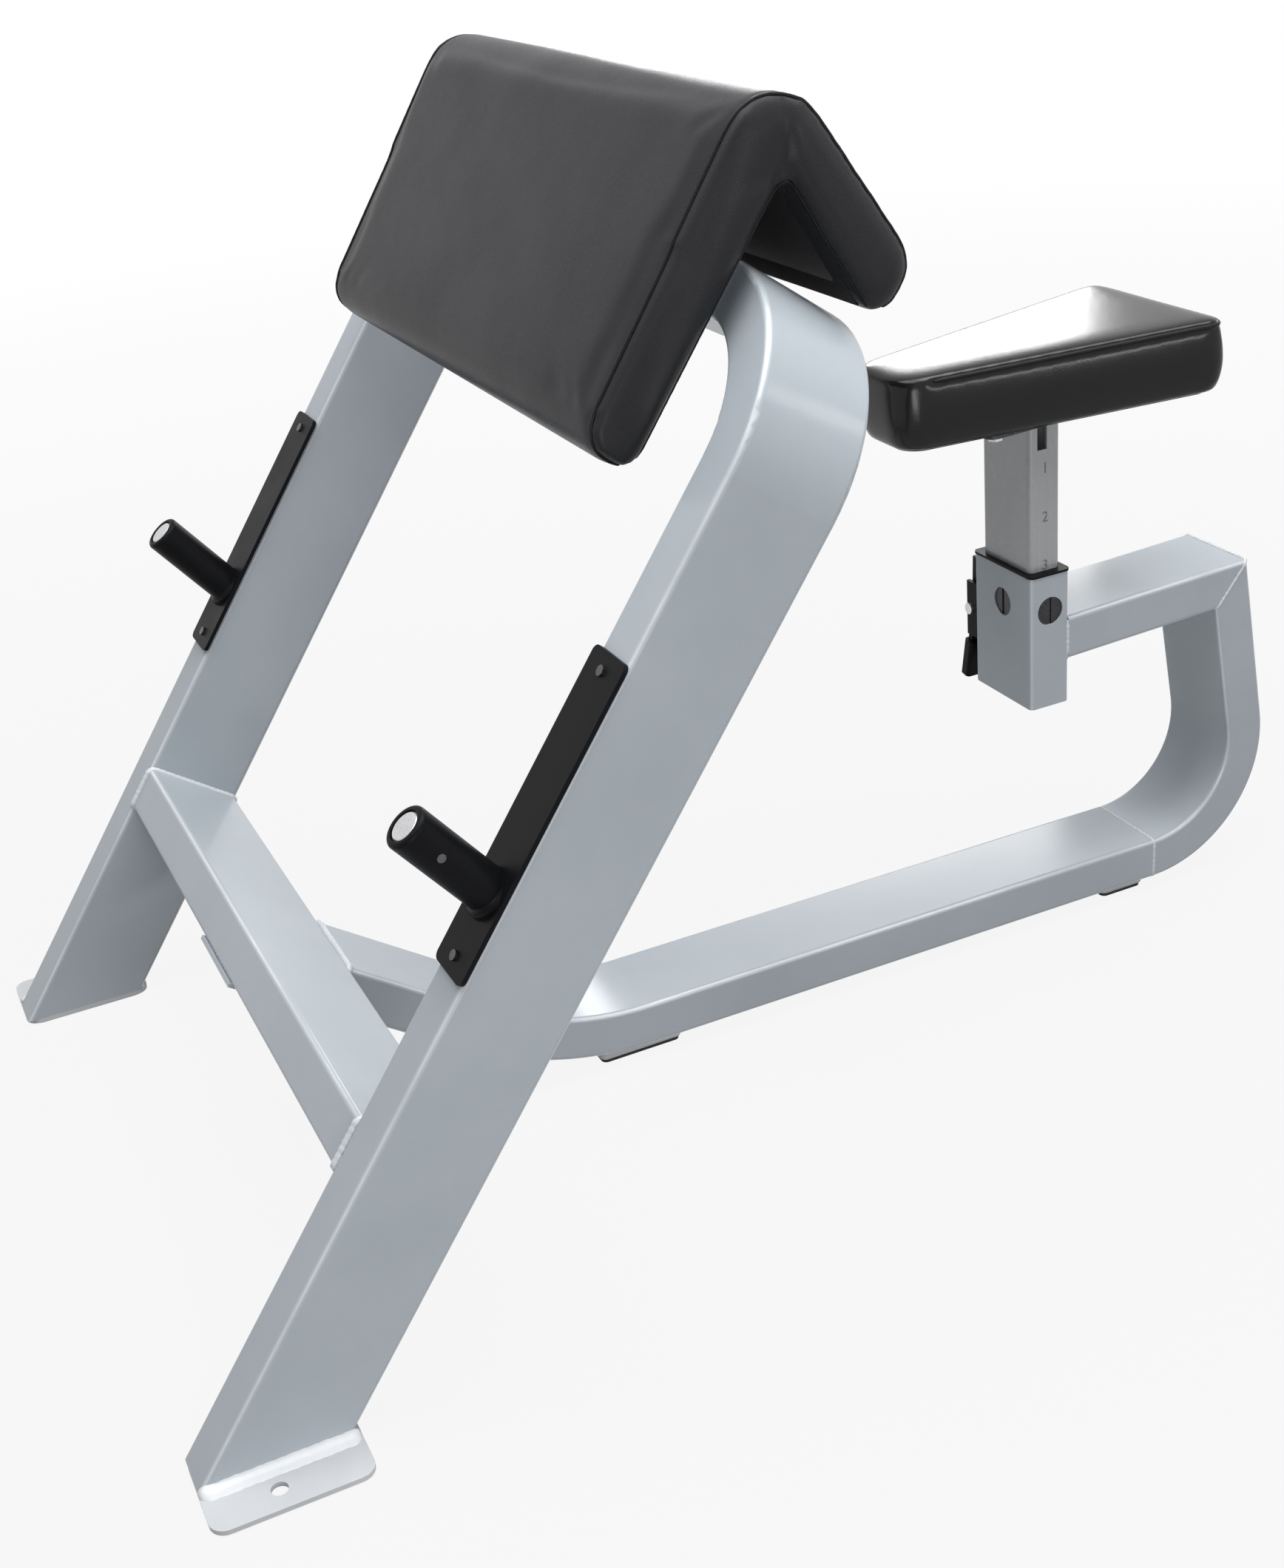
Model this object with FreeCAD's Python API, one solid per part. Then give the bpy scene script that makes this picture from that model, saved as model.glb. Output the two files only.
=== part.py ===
import FreeCAD, Part
import math
import os

Vector = FreeCAD.Vector
os.makedirs("parts", exist_ok=True)

# Flat tube that the frame is made of
tube_width = 100.0
tube_thickness = 46.0
tube_wall = 3.0
tube_corner_radius = 5.0
tube_bend_inner_radius = 94.0

# Front hoop, brace and rail
leg_lean = 35.6
hoop_half_width = 401.0
hoop_length = 1007.0
brace_height = 271.5
rail_floor_gap = 15.0
rail_bend_inner_radius = 289.0
gusset_thickness = 4.0
gusset_side_inset = 1.0
gusset_length = 160.0

# Seat end of the frame, tilted as one
seat_tilt = 2.5
post_lean = 0.5
receiver_front = 999.5
arm_top_height = 349.0
arm_reach = 204.0
upright_lean = 9.5
receiver_lower_length = 90.0
receiver_upper_length = 52.0

# Feet
foot_plate_thickness = 4.5
foot_plate_length = 130.0
foot_plate_inner_step = 0.0
foot_plate_outer_step = 45.0
foot_plate_corner = 14.0
foot_rubber_thickness = 1.5
foot_rubber_inset = 2.0
foot_hole_diameter = 14.0
foot_hole_step = 24.0
foot_hole_from_front = 57.0
foot_rubber_hole_diameter = 20.0
rail_foot_side_inset = 14.0
rail_foot_rubber_height = 4.5
rail_foot_rubber_inset = 1.5
rail_foot_corner = 6.0
mid_foot_front = 503.0
mid_foot_length = 88.0
rear_foot_back_step = 3.0
rear_foot_length = 54.0

# Bar rests on the front faces of the legs
cover_bottom = 455.0
cover_length = 262.0
cover_thickness = 4.0
cover_side_overhang = 3.0
cover_corner = 6.0
peg_height = 522.5
peg_rise_angle = 16.0
peg_reach = 93.0
peg_diameter = 36.5
peg_root_radius = 4.5
pin_diameter = 26.0
pin_end_recess = 0.6
pin_chamfer = 1.6
peg_end_radius = 3.6
cover_screw_head_diameter = 8.5
cover_screw_head_height = 2.2
cover_screw_diameter = 5.0
cover_screw_end_step = 14.0
peg_screw_diameter = 7.0
peg_screw_from_end = 30.0
peg_screw_stand = 0.4

# Arm pad, drawn in the leaning plane of the hoop
pad_half_width = 309.0
pad_gap = 14.5
pad_bottom = 830.0
pad_apex = 1069.0
pad_front_depth = 50.0
pad_front_taper = 2.2
pad_rear_angle = 24.2
pad_rear_length = 136.0
pad_rear_depth = 55.0
pad_rear_taper = 3.4
pad_ridge_radius = 51.0
pad_outer_edge_radius = 25.0
pad_inner_edge_radius = 20.0
pad_apex_radius = 3.0
pad_crown = 3.0
pad_end_draw = 2.5
pad_end_depth = 6.0
pad_board_thickness = 12.0
pad_board_inset = 14.0
pad_bracket_width = 60.0
pad_bracket_wall = 3.0
pad_bracket_side_step = 156.0
pad_bracket_lower_length = 31.0
pad_bracket_upper_length = 35.0
pad_bracket_corner = 3.5
pad_bolt_step = 15.0
bolt_diameter = 8.0
bolt_head_radius = 7.5
bolt_head_height = 5.3
bolt_bite_share = 0.75

# Seat guide inside the receiver
post_width = 82.0
post_depth = 36.0
post_wall = 3.0
post_corner_radius = 6.0
post_end_step = 6.0
liner_length = 60.0
liner_flange_thickness = 2.5
liner_flange_overhang = 1.0
lower_liner_length = 50.0
plug_diameter = 29.0
plug_rim_depth = 38.0
plug_recess = 1.5
plug_slot_width = 4.0
plug_slot_depth = 1.0
end_plug_flange = 3.0
end_plug_length = 18.0
post_slot_width = 11.0
post_slot_length = 24.0
post_slot_step = 3.5

# Seat
seat_height = 209.0
seat_length = 326.0
seat_reach = 130.0
seat_front_half_width = 44.5
seat_rear_half_width = 104.5
seat_front_corner = 30.0
seat_rear_corner = 14.0
seat_side_height = 67.0
seat_crown = 8.0
seat_bulge = 3.0
seat_bulge_share = 0.45
seat_shoulder_share = 0.55
seat_crown_draw = 26.0
seat_underside_draw = 5.0
seat_board_thickness = 12.0
seat_board_inset = 11.0
seat_plate_thickness = 6.0
seat_plate_length = 130.0
seat_plate_width = 92.0
seat_plate_corner = 10.0
seat_bolt_edge = 14.0

# Seat latch on the far side of the receiver
latch_pivot_depth = 14.0
latch_pivot_out = 12.0
latch_bracket_height = 60.0
latch_bracket_width = 42.0
latch_bracket_base = 2.5
latch_ear_thickness = 4.0
latch_ear_reach = 17.5
latch_pin_diameter = 8.0
latch_pin_head_diameter = 12.0
latch_pin_head_height = 2.5
lever_side_gap = 0.5
lever_thickness = 6.0
lever_boss_radius = 7.5
lever_top = 43.0
lever_top_out = 9.5
lever_bottom = 92.0
lever_bottom_out = 28.0
pawl_height = 7.0
pawl_width = 16.0
pawl_top_gap = 2.0
pawl_clear = 0.4
slot_height = 12.0
slot_low_height = 4.5
slot_side_gap = 1.5
slot_pitch = 20.0
slots_below_rest = 2
slots_above_rest = 7
window_height = 18.0
window_low_height = 6.0
grip_height = 42.0
grip_side_wall = 3.0
grip_wall = 4.0
grip_corner = 4.0
leaf_thickness = 1.5
leaf_width = 14.0
leaf_foot_length = 10.0
leaf_top_depth = 45.0
leaf_tip_depth = 70.0
leaf_tip_out = 12.5

# Gaps and cutting
run_gap = 0.3
fit_gap = 0.2
soft_gap = 0.3
overrun = 5.0
far_reach = 3000.0

half_tube = tube_thickness / 2
half_width = tube_width / 2
tube_inner_corner = tube_corner_radius - tube_wall
sin_lean = math.sin(math.radians(leg_lean))
cos_lean = math.cos(math.radians(leg_lean))
along_x = Vector(1, 0, 0)
along_y = Vector(0, 1, 0)
along_z = Vector(0, 0, 1)
origin = Vector(0, 0, 0)


# Outlines, paths and solids

def corner_arc(before, point, after, radius):
    to_before = (before - point).normalize()
    to_after = (after - point).normalize()
    half_angle = to_before.getAngle(to_after) / 2
    start = point + to_before * (radius / math.tan(half_angle))
    end = point + to_after * (radius / math.tan(half_angle))
    inward = (to_before + to_after).normalize()
    middle = point + inward * (radius / math.sin(half_angle) - radius)
    return start, middle, end


def rounded_outline(points, radii):
    count = len(points)
    arcs = []
    for i in range(count):
        arcs.append(corner_arc(points[i - 1], points[i], points[(i + 1) % count], radii[i]))
    edges = []
    for i in range(count):
        start, middle, end = arcs[i]
        edges.append(Part.Arc(start, middle, end).toShape())
        edges.append(Part.LineSegment(end, arcs[(i + 1) % count][0]).toShape())
    return Part.Wire(edges)


def rounded_path(points, radius):
    edges = []
    last = points[0]
    for i in range(1, len(points) - 1):
        start, middle, end = corner_arc(points[i - 1], points[i], points[i + 1], radius)
        if not last.isEqual(start, fit_gap):
            edges.append(Part.LineSegment(last, start).toShape())
        edges.append(Part.Arc(start, middle, end).toShape())
        last = end
    edges.append(Part.LineSegment(last, points[-1]).toShape())
    return Part.Wire(edges)


def rectangle(centre, across, across_size, up, up_size, corner):
    a = across * (across_size / 2)
    b = up * (up_size / 2)
    points = [centre - a - b, centre + a - b, centre + a + b, centre - a + b]
    return rounded_outline(points, [corner] * len(points))


def prism(wire, direction):
    return Part.Face(wire).extrude(direction)


def polygon_prism(points, direction):
    return Part.Face(Part.makePolygon(points + [points[0]])).extrude(direction)


def box(low, high):
    size = high - low
    return Part.makeBox(size.x, size.y, size.z, low)


def rod(radius, start, end):
    run = end - start
    return Part.makeCylinder(radius, run.Length, start, run)


def swept_tube(path, start, across, up):
    outer = rectangle(start, across, tube_width, up, tube_thickness, tube_corner_radius)
    inner_width = tube_width - tube_wall * 2
    inner_thickness = tube_thickness - tube_wall * 2
    inner = rectangle(start, across, inner_width, up, inner_thickness, tube_inner_corner)
    solid = path.makePipeShell([outer], True, False)
    return solid.cut(path.makePipeShell([inner], True, False)), solid


def straight_tube(start, end, across, up):
    inner_width = tube_width - tube_wall * 2
    inner_thickness = tube_thickness - tube_wall * 2
    outer = rectangle(start, across, tube_width, up, tube_thickness, tube_corner_radius)
    inner = rectangle(start, across, inner_width, up, inner_thickness, tube_inner_corner)
    return prism(outer, end - start).cut(prism(inner, end - start))


def beyond(point, normal):
    side = along_x * far_reach
    up = normal.cross(along_x).normalize() * far_reach
    points = [point - side - up, point + side - up, point + side + up, point - side + up]
    return polygon_prism(points, normal * far_reach)


def hex_bolt(head_point, direction, shank_length):
    across = direction.cross(along_x if abs(direction.x) < abs(direction.z) else along_z)
    across = across.normalize() * bolt_head_radius
    points = []
    for i in range(6):
        turn = FreeCAD.Rotation(direction, 360 / 6 * i)
        points.append(head_point + turn.multVec(across))
    head = polygon_prism(points, direction * -bolt_head_height)
    return head.fuse(rod(bolt_diameter / 2, head_point, head_point + direction * shank_length))


def write(name, shape):
    if not shape.isValid():
        raise ValueError(name + " is not a valid shape")
    shape.exportStep("parts/" + name + ".step")


def write_group(name, solids):
    write(name, Part.makeCompound(solids))


def mirrored(shape):
    return shape.mirror(origin, along_x)


# The legs' front feet and the rear bend fix the overall length, and so the middle of the floor

def tilted(point):
    turn = FreeCAD.Rotation(along_x, seat_tilt)
    return turn.multVec(point) + Vector(0, receiver_front, arm_top_height)


rail_middle = rail_floor_gap + half_tube
bend_radius = tube_bend_inner_radius + half_tube
bend_outer_radius = tube_bend_inner_radius + tube_thickness
mitre = tilted(Vector(0, tube_thickness + arm_reach, -half_tube))
lean_back = math.tan(math.radians(upright_lean))
rear_corner = Vector(0, mitre.y + (mitre.z - rail_middle) * lean_back, rail_middle)
bend_half_angle = math.radians(90 + upright_lean) / 2
rail_end = rear_corner.y - bend_radius * math.tan(bend_half_angle)
foot_top = foot_rubber_thickness + foot_plate_thickness
foot_front = foot_top * sin_lean / cos_lean
front_y = -(foot_front + rail_end + bend_outer_radius) / 2
shift = Vector(0, front_y, 0)


def on_floor(shape):
    return shape.translated(shift)


def leaning(shape):
    return shape.rotated(origin, along_x, -leg_lean).translated(shift)


def at_seat(shape):
    turned = shape.rotated(origin, along_x, seat_tilt)
    return turned.translated(shift + Vector(0, receiver_front, arm_top_height))


def at_post(shape):
    turned = shape.rotated(origin, along_x, post_lean)
    return turned.translated(shift + Vector(0, receiver_front, arm_top_height))


def leaned(point):
    return FreeCAD.Rotation(along_x, -leg_lean).multVec(point)


# Front hoop: two legs and the top bar are one bent tube, cut level at the foot plates

leg_middle = hoop_half_width - half_tube
leg_inner = hoop_half_width - tube_thickness
bar_middle = hoop_length - half_tube
leg_start = -tube_width * math.tan(math.radians(leg_lean)) - overrun
hoop_points = [
    Vector(-leg_middle, half_width, leg_start),
    Vector(-leg_middle, half_width, bar_middle),
    Vector(leg_middle, half_width, bar_middle),
    Vector(leg_middle, half_width, leg_start),
]
hoop_path = rounded_path(hoop_points, bend_radius)
hoop = swept_tube(hoop_path, hoop_points[0], along_y, along_x)[0]
below_feet = beyond(Vector(0, front_y, foot_top), Vector(0, 0, -1))
hoop = leaning(hoop).cut(below_feet)
write("front_hoop_tube", hoop)

# Cross brace between the legs

brace_middle = brace_height + half_tube
brace_start = Vector(-leg_inner, half_width, brace_middle)
brace_end = Vector(leg_inner, half_width, brace_middle)
brace = straight_tube(brace_start, brace_end, along_y, along_z)
write("cross_brace_tube", leaning(brace))

# Spine rail: down from the brace, then along the floor to the rear bend

rail_start = leaned(Vector(0, tube_width, brace_middle))
slope_run = (rail_start.z - rail_middle) * cos_lean / sin_lean
rail_points = [
    rail_start,
    Vector(0, rail_start.y + slope_run, rail_middle),
    Vector(0, rail_end, rail_middle),
]
rail_path = rounded_path(rail_points, rail_bend_inner_radius + half_tube)
rail, rail_solid = swept_tube(rail_path, rail_start, along_x, leaned(along_z))
write("spine_rail_tube", on_floor(rail))

# Gusset plate welded under the joint of brace and rail

gusset_half = half_width - gusset_side_inset
gusset_low = Vector(-gusset_half, 0, brace_height - gusset_thickness)
gusset_high = Vector(gusset_half, gusset_length, brace_height)
write("spine_gusset_plate", leaning(box(gusset_low, gusset_high)))

# Rear upright: the bend off the floor and the leaning post above it

up_direction = Vector(0, -lean_back, 1).normalize()
arm_direction = FreeCAD.Rotation(along_x, seat_tilt).multVec(Vector(0, -1, 0))
upright_points = [
    Vector(0, rail_end, rail_middle),
    rear_corner,
    mitre + up_direction * tube_width,
]
upright_path = rounded_path(upright_points, bend_radius)
upright = swept_tube(upright_path, upright_points[0], along_x, along_z)[0]
mitre_normal = (up_direction + arm_direction).normalize()
upright = upright.cut(beyond(mitre, mitre_normal))
write("rear_upright_tube", on_floor(upright))

# Seat arm from the mitre to the receiver

arm_start = Vector(0, 0, -half_tube)
arm_end = Vector(0, tube_thickness + arm_reach + tube_width, -half_tube)
arm = at_seat(straight_tube(arm_start, arm_end, along_x, along_z))
arm = arm.cut(on_floor(beyond(mitre, -mitre_normal)))
arm = arm.cut(at_post(beyond(Vector(0, tube_thickness, 0), Vector(0, -1, 0))))
write("seat_arm_tube", arm)

# Foot plates and their rubbers

foot_inner = leg_inner - foot_plate_inner_step
foot_outer = hoop_half_width + foot_plate_outer_step
foot_centre = Vector((foot_inner + foot_outer) / 2, foot_front + foot_plate_length / 2, 0)
hole_y = foot_front + foot_hole_from_front
hole_point = Vector(hoop_half_width + foot_hole_step, hole_y, -overrun)
hole_top = hole_point + along_z * (foot_top + overrun * 2)


def foot_outline(inset, level, corner):
    wide = foot_outer - foot_inner - inset * 2
    long = foot_plate_length - inset * 2
    return rectangle(foot_centre + along_z * level, along_x, wide, along_y, long, corner)


plate = prism(foot_outline(0, foot_rubber_thickness, foot_plate_corner), along_z * foot_plate_thickness)
plate = on_floor(plate.cut(rod(foot_hole_diameter / 2, hole_point, hole_top)))
rubber = prism(foot_outline(foot_rubber_inset, 0, foot_plate_corner), along_z * foot_rubber_thickness)
rubber = on_floor(rubber.cut(rod(foot_rubber_hole_diameter / 2, hole_point, hole_top)))
write("right_foot_plate", plate)
write("left_foot_plate", mirrored(plate))
write("right_foot_rubber", rubber)
write("left_foot_rubber", mirrored(rubber))

# Feet under the rail: a pale block shaped to the tube, on black rubber

rail_foot_width = tube_width - rail_foot_side_inset * 2
rubber_width = rail_foot_width - rail_foot_rubber_inset * 2


def rail_foot(name, front, length):
    centre = Vector(0, front + length / 2, 0)
    seat = centre + along_z * rail_foot_rubber_height
    outline = rectangle(seat, along_x, rail_foot_width, along_y, length, rail_foot_corner)
    block = prism(outline, along_z * rail_middle).cut(rail_solid)
    block = block.common(prism(outline, along_z * (rail_middle - rail_foot_rubber_height)))
    rubber_length = length - rail_foot_rubber_inset * 2
    outline = rectangle(centre, along_x, rubber_width, along_y, rubber_length, rail_foot_corner)
    write(name + "_block", on_floor(block.Solids[0]))
    write(name + "_rubber", on_floor(prism(outline, along_z * rail_foot_rubber_height)))


rail_foot("rail_mid_foot", mid_foot_front, mid_foot_length)
rail_foot("rail_rear_foot", rail_end - rear_foot_back_step - rear_foot_length, rear_foot_length)

# Bar rests: a steel pin on each leg inside a moulded cover with a guard plate

peg_turn = FreeCAD.Rotation(along_x, -peg_rise_angle)
peg_direction = peg_turn.multVec(Vector(0, -1, 0))
peg_root = Vector(leg_middle, 0, peg_height)
peg_end = peg_root + peg_direction * peg_reach
peg_radius = peg_diameter / 2
cover_half = half_tube + cover_side_overhang
cover_middle = Vector(leg_middle, 0, cover_bottom + cover_length / 2)
behind_face = box(
    Vector(-far_reach, 0, -far_reach),
    Vector(far_reach, far_reach, far_reach),
)
guard = prism(
    rectangle(cover_middle, along_x, cover_half * 2, along_z, cover_length, cover_corner),
    Vector(0, -cover_thickness, 0),
)
flare_start = cover_thickness
flare_end = flare_start + peg_root_radius
flare_radius = peg_radius + peg_root_radius
flare_bend = peg_root_radius * math.sqrt(2) / 2
flare_middle = Vector(flare_radius - flare_bend, 0, flare_end - flare_bend)
behind = -peg_diameter
round_start = peg_reach - peg_end_radius
round_in = peg_radius - peg_end_radius
round_bend = peg_end_radius * math.sqrt(2) / 2
sleeve_profile = Part.Wire([
    Part.LineSegment(Vector(0, 0, behind), Vector(flare_radius, 0, behind)).toShape(),
    Part.LineSegment(Vector(flare_radius, 0, behind), Vector(flare_radius, 0, flare_start)).toShape(),
    Part.Arc(
        Vector(flare_radius, 0, flare_start),
        flare_middle,
        Vector(peg_radius, 0, flare_end),
    ).toShape(),
    Part.LineSegment(Vector(peg_radius, 0, flare_end), Vector(peg_radius, 0, round_start)).toShape(),
    Part.Arc(
        Vector(peg_radius, 0, round_start),
        Vector(round_in + round_bend, 0, round_start + round_bend),
        Vector(round_in, 0, peg_reach),
    ).toShape(),
    Part.LineSegment(Vector(round_in, 0, peg_reach), Vector(0, 0, peg_reach)).toShape(),
    Part.LineSegment(Vector(0, 0, peg_reach), Vector(0, 0, behind)).toShape(),
])
sleeve = Part.Face(sleeve_profile).revolve(origin, along_z, 360)
sleeve.Placement = FreeCAD.Placement(peg_root, FreeCAD.Rotation(along_z, peg_direction))
trim_low = Vector(leg_middle - cover_half, -far_reach, cover_bottom)
trim_high = Vector(leg_middle + cover_half, 0, cover_bottom + cover_length)
sleeve = sleeve.common(box(trim_low, trim_high))
bore_start = peg_root - peg_direction * peg_diameter
bore = rod(pin_diameter / 2 + fit_gap, bore_start, peg_end + peg_direction * overrun)
pin_end = peg_end - peg_direction * pin_end_recess
pin_radius = pin_diameter / 2
chamfer_start = pin_end - peg_direction * pin_chamfer
pin = rod(pin_radius, bore_start, chamfer_start).cut(behind_face)
pin = pin.fuse(Part.makeCone(
    pin_radius, pin_radius - pin_chamfer, pin_chamfer, chamfer_start, peg_direction
))
screw_heights = [
    cover_bottom + cover_screw_end_step,
    cover_bottom + cover_length - cover_screw_end_step,
]
face_y = -cover_thickness
screws = []
cover = guard.fuse(sleeve).removeSplitter().cut(bore)
for height in screw_heights:
    inner = Vector(leg_middle, 0, height)
    face = Vector(leg_middle, face_y, height)
    outer = Vector(leg_middle, face_y - cover_screw_head_height, height)
    cover = cover.cut(rod(cover_screw_diameter / 2 + fit_gap, inner, outer))
    head = rod(cover_screw_head_diameter / 2, face, outer)
    screws.append(head.fuse(rod(cover_screw_diameter / 2, inner, face)))
peg_screw_middle = peg_end - peg_direction * peg_screw_from_end
screw_start = peg_screw_middle + along_x * (pin_diameter / 2)
screw_tip = peg_screw_middle + along_x * (peg_radius + peg_screw_stand)
peg_screw_bottom = screw_start + along_x * fit_gap
cover = cover.cut(rod(peg_screw_diameter / 2 + fit_gap, screw_start, screw_tip + along_x * overrun))
screws.append(rod(peg_screw_diameter / 2, peg_screw_bottom, screw_tip))
cover = leaning(cover)
pin = leaning(pin)
screws = [leaning(screw) for screw in screws]
write("right_bar_rest_cover", cover)
write("left_bar_rest_cover", mirrored(cover))
write("right_bar_rest_pin", pin)
write("left_bar_rest_pin", mirrored(pin))
write_group("bar_rest_screws", screws + [mirrored(screw) for screw in screws])

# Arm pad: two boards in a V and a cushion over both, with crown and drawn-in ends

rear_sin = math.sin(math.radians(pad_rear_angle))
rear_cos = math.cos(math.radians(pad_rear_angle))
rear_way = Vector(0, rear_cos, -rear_sin)
rear_out = Vector(0, rear_sin, rear_cos)
apex = Vector(0, -pad_gap, pad_apex)
corner_rise = (1 + rear_sin) / rear_cos
front_up = FreeCAD.Rotation(along_x, pad_front_taper).multVec(along_z)
rear_up = FreeCAD.Rotation(along_x, pad_rear_taper).multVec(-rear_way)


def board_ridge(depth):
    return apex + Vector(0, -depth, depth * corner_rise)


def meet(start, way, other, other_way):
    apart = other - start
    turn = way.y * other_way.z - way.z * other_way.y
    along = (apart.y * other_way.z - apart.z * other_way.y) / turn
    return start + way * along


def pad_section(x, swell, draw):
    bottom = pad_bottom + draw
    front_low = Vector(0, -pad_gap - pad_front_depth - swell, bottom)
    rear_end = apex + rear_way * (pad_rear_length - draw)
    rear_low = rear_end + rear_out * (pad_rear_depth + swell)
    points = [
        Vector(0, -pad_gap, bottom),
        front_low,
        meet(front_low, front_up, rear_low, rear_up),
        rear_low,
        rear_end,
        apex,
    ]
    radii = [
        pad_inner_edge_radius,
        pad_outer_edge_radius,
        pad_ridge_radius,
        pad_outer_edge_radius,
        pad_inner_edge_radius,
        pad_apex_radius,
    ]
    return rounded_outline([point + along_x * x for point in points], radii)


crown_sections = [
    pad_section(-pad_half_width + pad_end_depth, 0, 0),
    pad_section(0, pad_crown, 0),
    pad_section(pad_half_width - pad_end_depth, 0, 0),
]
cushion = Part.makeLoft(crown_sections, True, False)
for side in (-1, 1):
    shoulder = pad_section(side * (pad_half_width - pad_end_depth), 0, 0)
    rim = pad_section(side * pad_half_width, -pad_end_draw, pad_end_draw)
    cushion = cushion.fuse(Part.makeLoft([shoulder, rim], True, True))


def board_outlines(thickness, growth):
    low = Vector(0, -pad_gap, pad_bottom + pad_board_inset - growth)
    rear_end = apex + rear_way * (pad_rear_length - pad_board_inset + growth)
    front = [low, low - along_y * thickness, board_ridge(thickness), apex]
    rear = [apex, board_ridge(thickness), rear_end + rear_out * thickness, rear_end]
    return front, rear


def board(points, growth):
    half = pad_half_width - pad_board_inset + growth
    return polygon_prism([point - along_x * half for point in points], along_x * half * 2)


front_points, rear_points = board_outlines(pad_board_thickness, 0)
front_board = board(front_points, 0)
rear_board = board(rear_points, 0)
for points in board_outlines(pad_board_thickness + soft_gap, soft_gap):
    cushion = cushion.cut(board(points, soft_gap))
write("arm_pad_cushion", leaning(cushion))

# Pad brackets: short flat tubes on the top bar, and the bolts that hold the front board

bar_bottom = hoop_length - tube_thickness
bracket_bottom = bar_bottom - pad_bracket_lower_length
bracket_top = hoop_length + pad_bracket_upper_length
bracket_x = hoop_half_width - pad_bracket_side_step
bracket_middle = Vector(bracket_x, -pad_gap / 2, bracket_bottom)
bracket_run = along_z * (bracket_top - bracket_bottom)
inner_width = pad_bracket_width - pad_bracket_wall * 2
inner_depth = pad_gap - pad_bracket_wall * 2
bracket_outer = rectangle(
    bracket_middle, along_x, pad_bracket_width, along_y, pad_gap, pad_bracket_corner
)
bracket_inner = rectangle(
    bracket_middle, along_x, inner_width, along_y, inner_depth, pad_bracket_corner - pad_bracket_wall
)
bracket = prism(bracket_outer, bracket_run).cut(prism(bracket_inner, bracket_run))
shank_length = pad_gap + pad_board_thickness * bolt_bite_share
bolt_hole = bolt_diameter / 2 + fit_gap
pad_bolts = []
for height in (bracket_bottom + pad_bolt_step, bracket_top - pad_bolt_step):
    point = Vector(bracket_x, 0, height)
    hole = rod(bolt_hole, point, point - along_y * (shank_length + fit_gap))
    bracket = bracket.cut(hole)
    front_board = front_board.cut(hole).cut(mirrored(hole))
    pad_bolts.append(leaning(hex_bolt(point, Vector(0, -1, 0), shank_length)))
bracket = leaning(bracket)
write("right_pad_bracket", bracket)
write("left_pad_bracket", mirrored(bracket))
write_group("pad_bolts", pad_bolts + [mirrored(bolt) for bolt in pad_bolts])
write("arm_pad_front_board", leaning(front_board))
write("arm_pad_rear_board", leaning(rear_board))

# Receiver for the seat post, with holes for two glide plugs and a window for the latch

post_middle = half_tube
receiver_inner_width = tube_width - tube_wall * 2
receiver_inner_depth = tube_thickness - tube_wall * 2


def level_block(width, depth, corner, low, high):
    outline = rectangle(Vector(0, post_middle, low), along_x, width, along_y, depth, corner)
    return prism(outline, along_z * (high - low))


receiver_bottom = -receiver_lower_length
receiver = level_block(
    tube_width, tube_thickness, tube_corner_radius, receiver_bottom, receiver_upper_length
)
receiver = receiver.cut(level_block(
    receiver_inner_width, receiver_inner_depth, tube_inner_corner, receiver_bottom, receiver_upper_length
))
plug_height = receiver_upper_length - plug_rim_depth
plug_radius = plug_diameter / 2
plug_hole = plug_radius + fit_gap
front_plug_outer = Vector(0, 0, plug_height)
side_plug_outer = Vector(half_width, post_middle, plug_height)


def glide_plug(face_point, inward):
    start = face_point + inward * plug_recess
    plug = rod(plug_radius, start, face_point + inward * tube_wall)
    side = inward.cross(along_z) * (plug_slot_width / 2)
    reach = along_z * plug_diameter
    points = [start - side - reach, start + side - reach, start + side + reach, start - side + reach]
    return plug.cut(polygon_prism(points, inward * plug_slot_depth))


plug_cases = [
    ("front_glide_plug", front_plug_outer, Vector(0, 1, 0)),
    ("side_glide_plug", side_plug_outer, Vector(-1, 0, 0)),
]
for name, face_point, inward in plug_cases:
    receiver = receiver.cut(rod(plug_hole, face_point, face_point + inward * tube_wall))
    write(name, at_post(glide_plug(face_point, inward)))

pawl_top = lever_top - pawl_top_gap
pawl_bottom = pawl_top - pawl_height
window_bottom = pawl_bottom - window_low_height
window_half = pawl_width / 2 + slot_side_gap
window = box(
    Vector(-half_width - overrun, post_middle - window_half, window_bottom),
    Vector(0, post_middle + window_half, window_bottom + window_height),
)
receiver = receiver.cut(window)
write("seat_post_receiver", at_post(receiver))

# Liners that guide the post

guide_width = post_width + run_gap * 2
guide_depth = post_depth + run_gap * 2
guide_corner = post_corner_radius + run_gap
liner_bottom = receiver_upper_length - liner_length
flange_top = receiver_upper_length + liner_flange_thickness
flange_width = tube_width + liner_flange_overhang * 2
flange_depth = tube_thickness + liner_flange_overhang * 2
flange_corner = tube_corner_radius + liner_flange_overhang
liner = level_block(
    receiver_inner_width, receiver_inner_depth, tube_inner_corner, liner_bottom, receiver_upper_length
)
liner = liner.fuse(level_block(flange_width, flange_depth, flange_corner, receiver_upper_length, flange_top))
liner = liner.removeSplitter()
liner = liner.cut(level_block(guide_width, guide_depth, guide_corner, liner_bottom, flange_top))
write("receiver_upper_liner", at_post(liner.cut(window)))
lower_top = lower_liner_length + receiver_bottom
lower = level_block(
    receiver_inner_width, receiver_inner_depth, tube_inner_corner, receiver_bottom, lower_top
)
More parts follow.
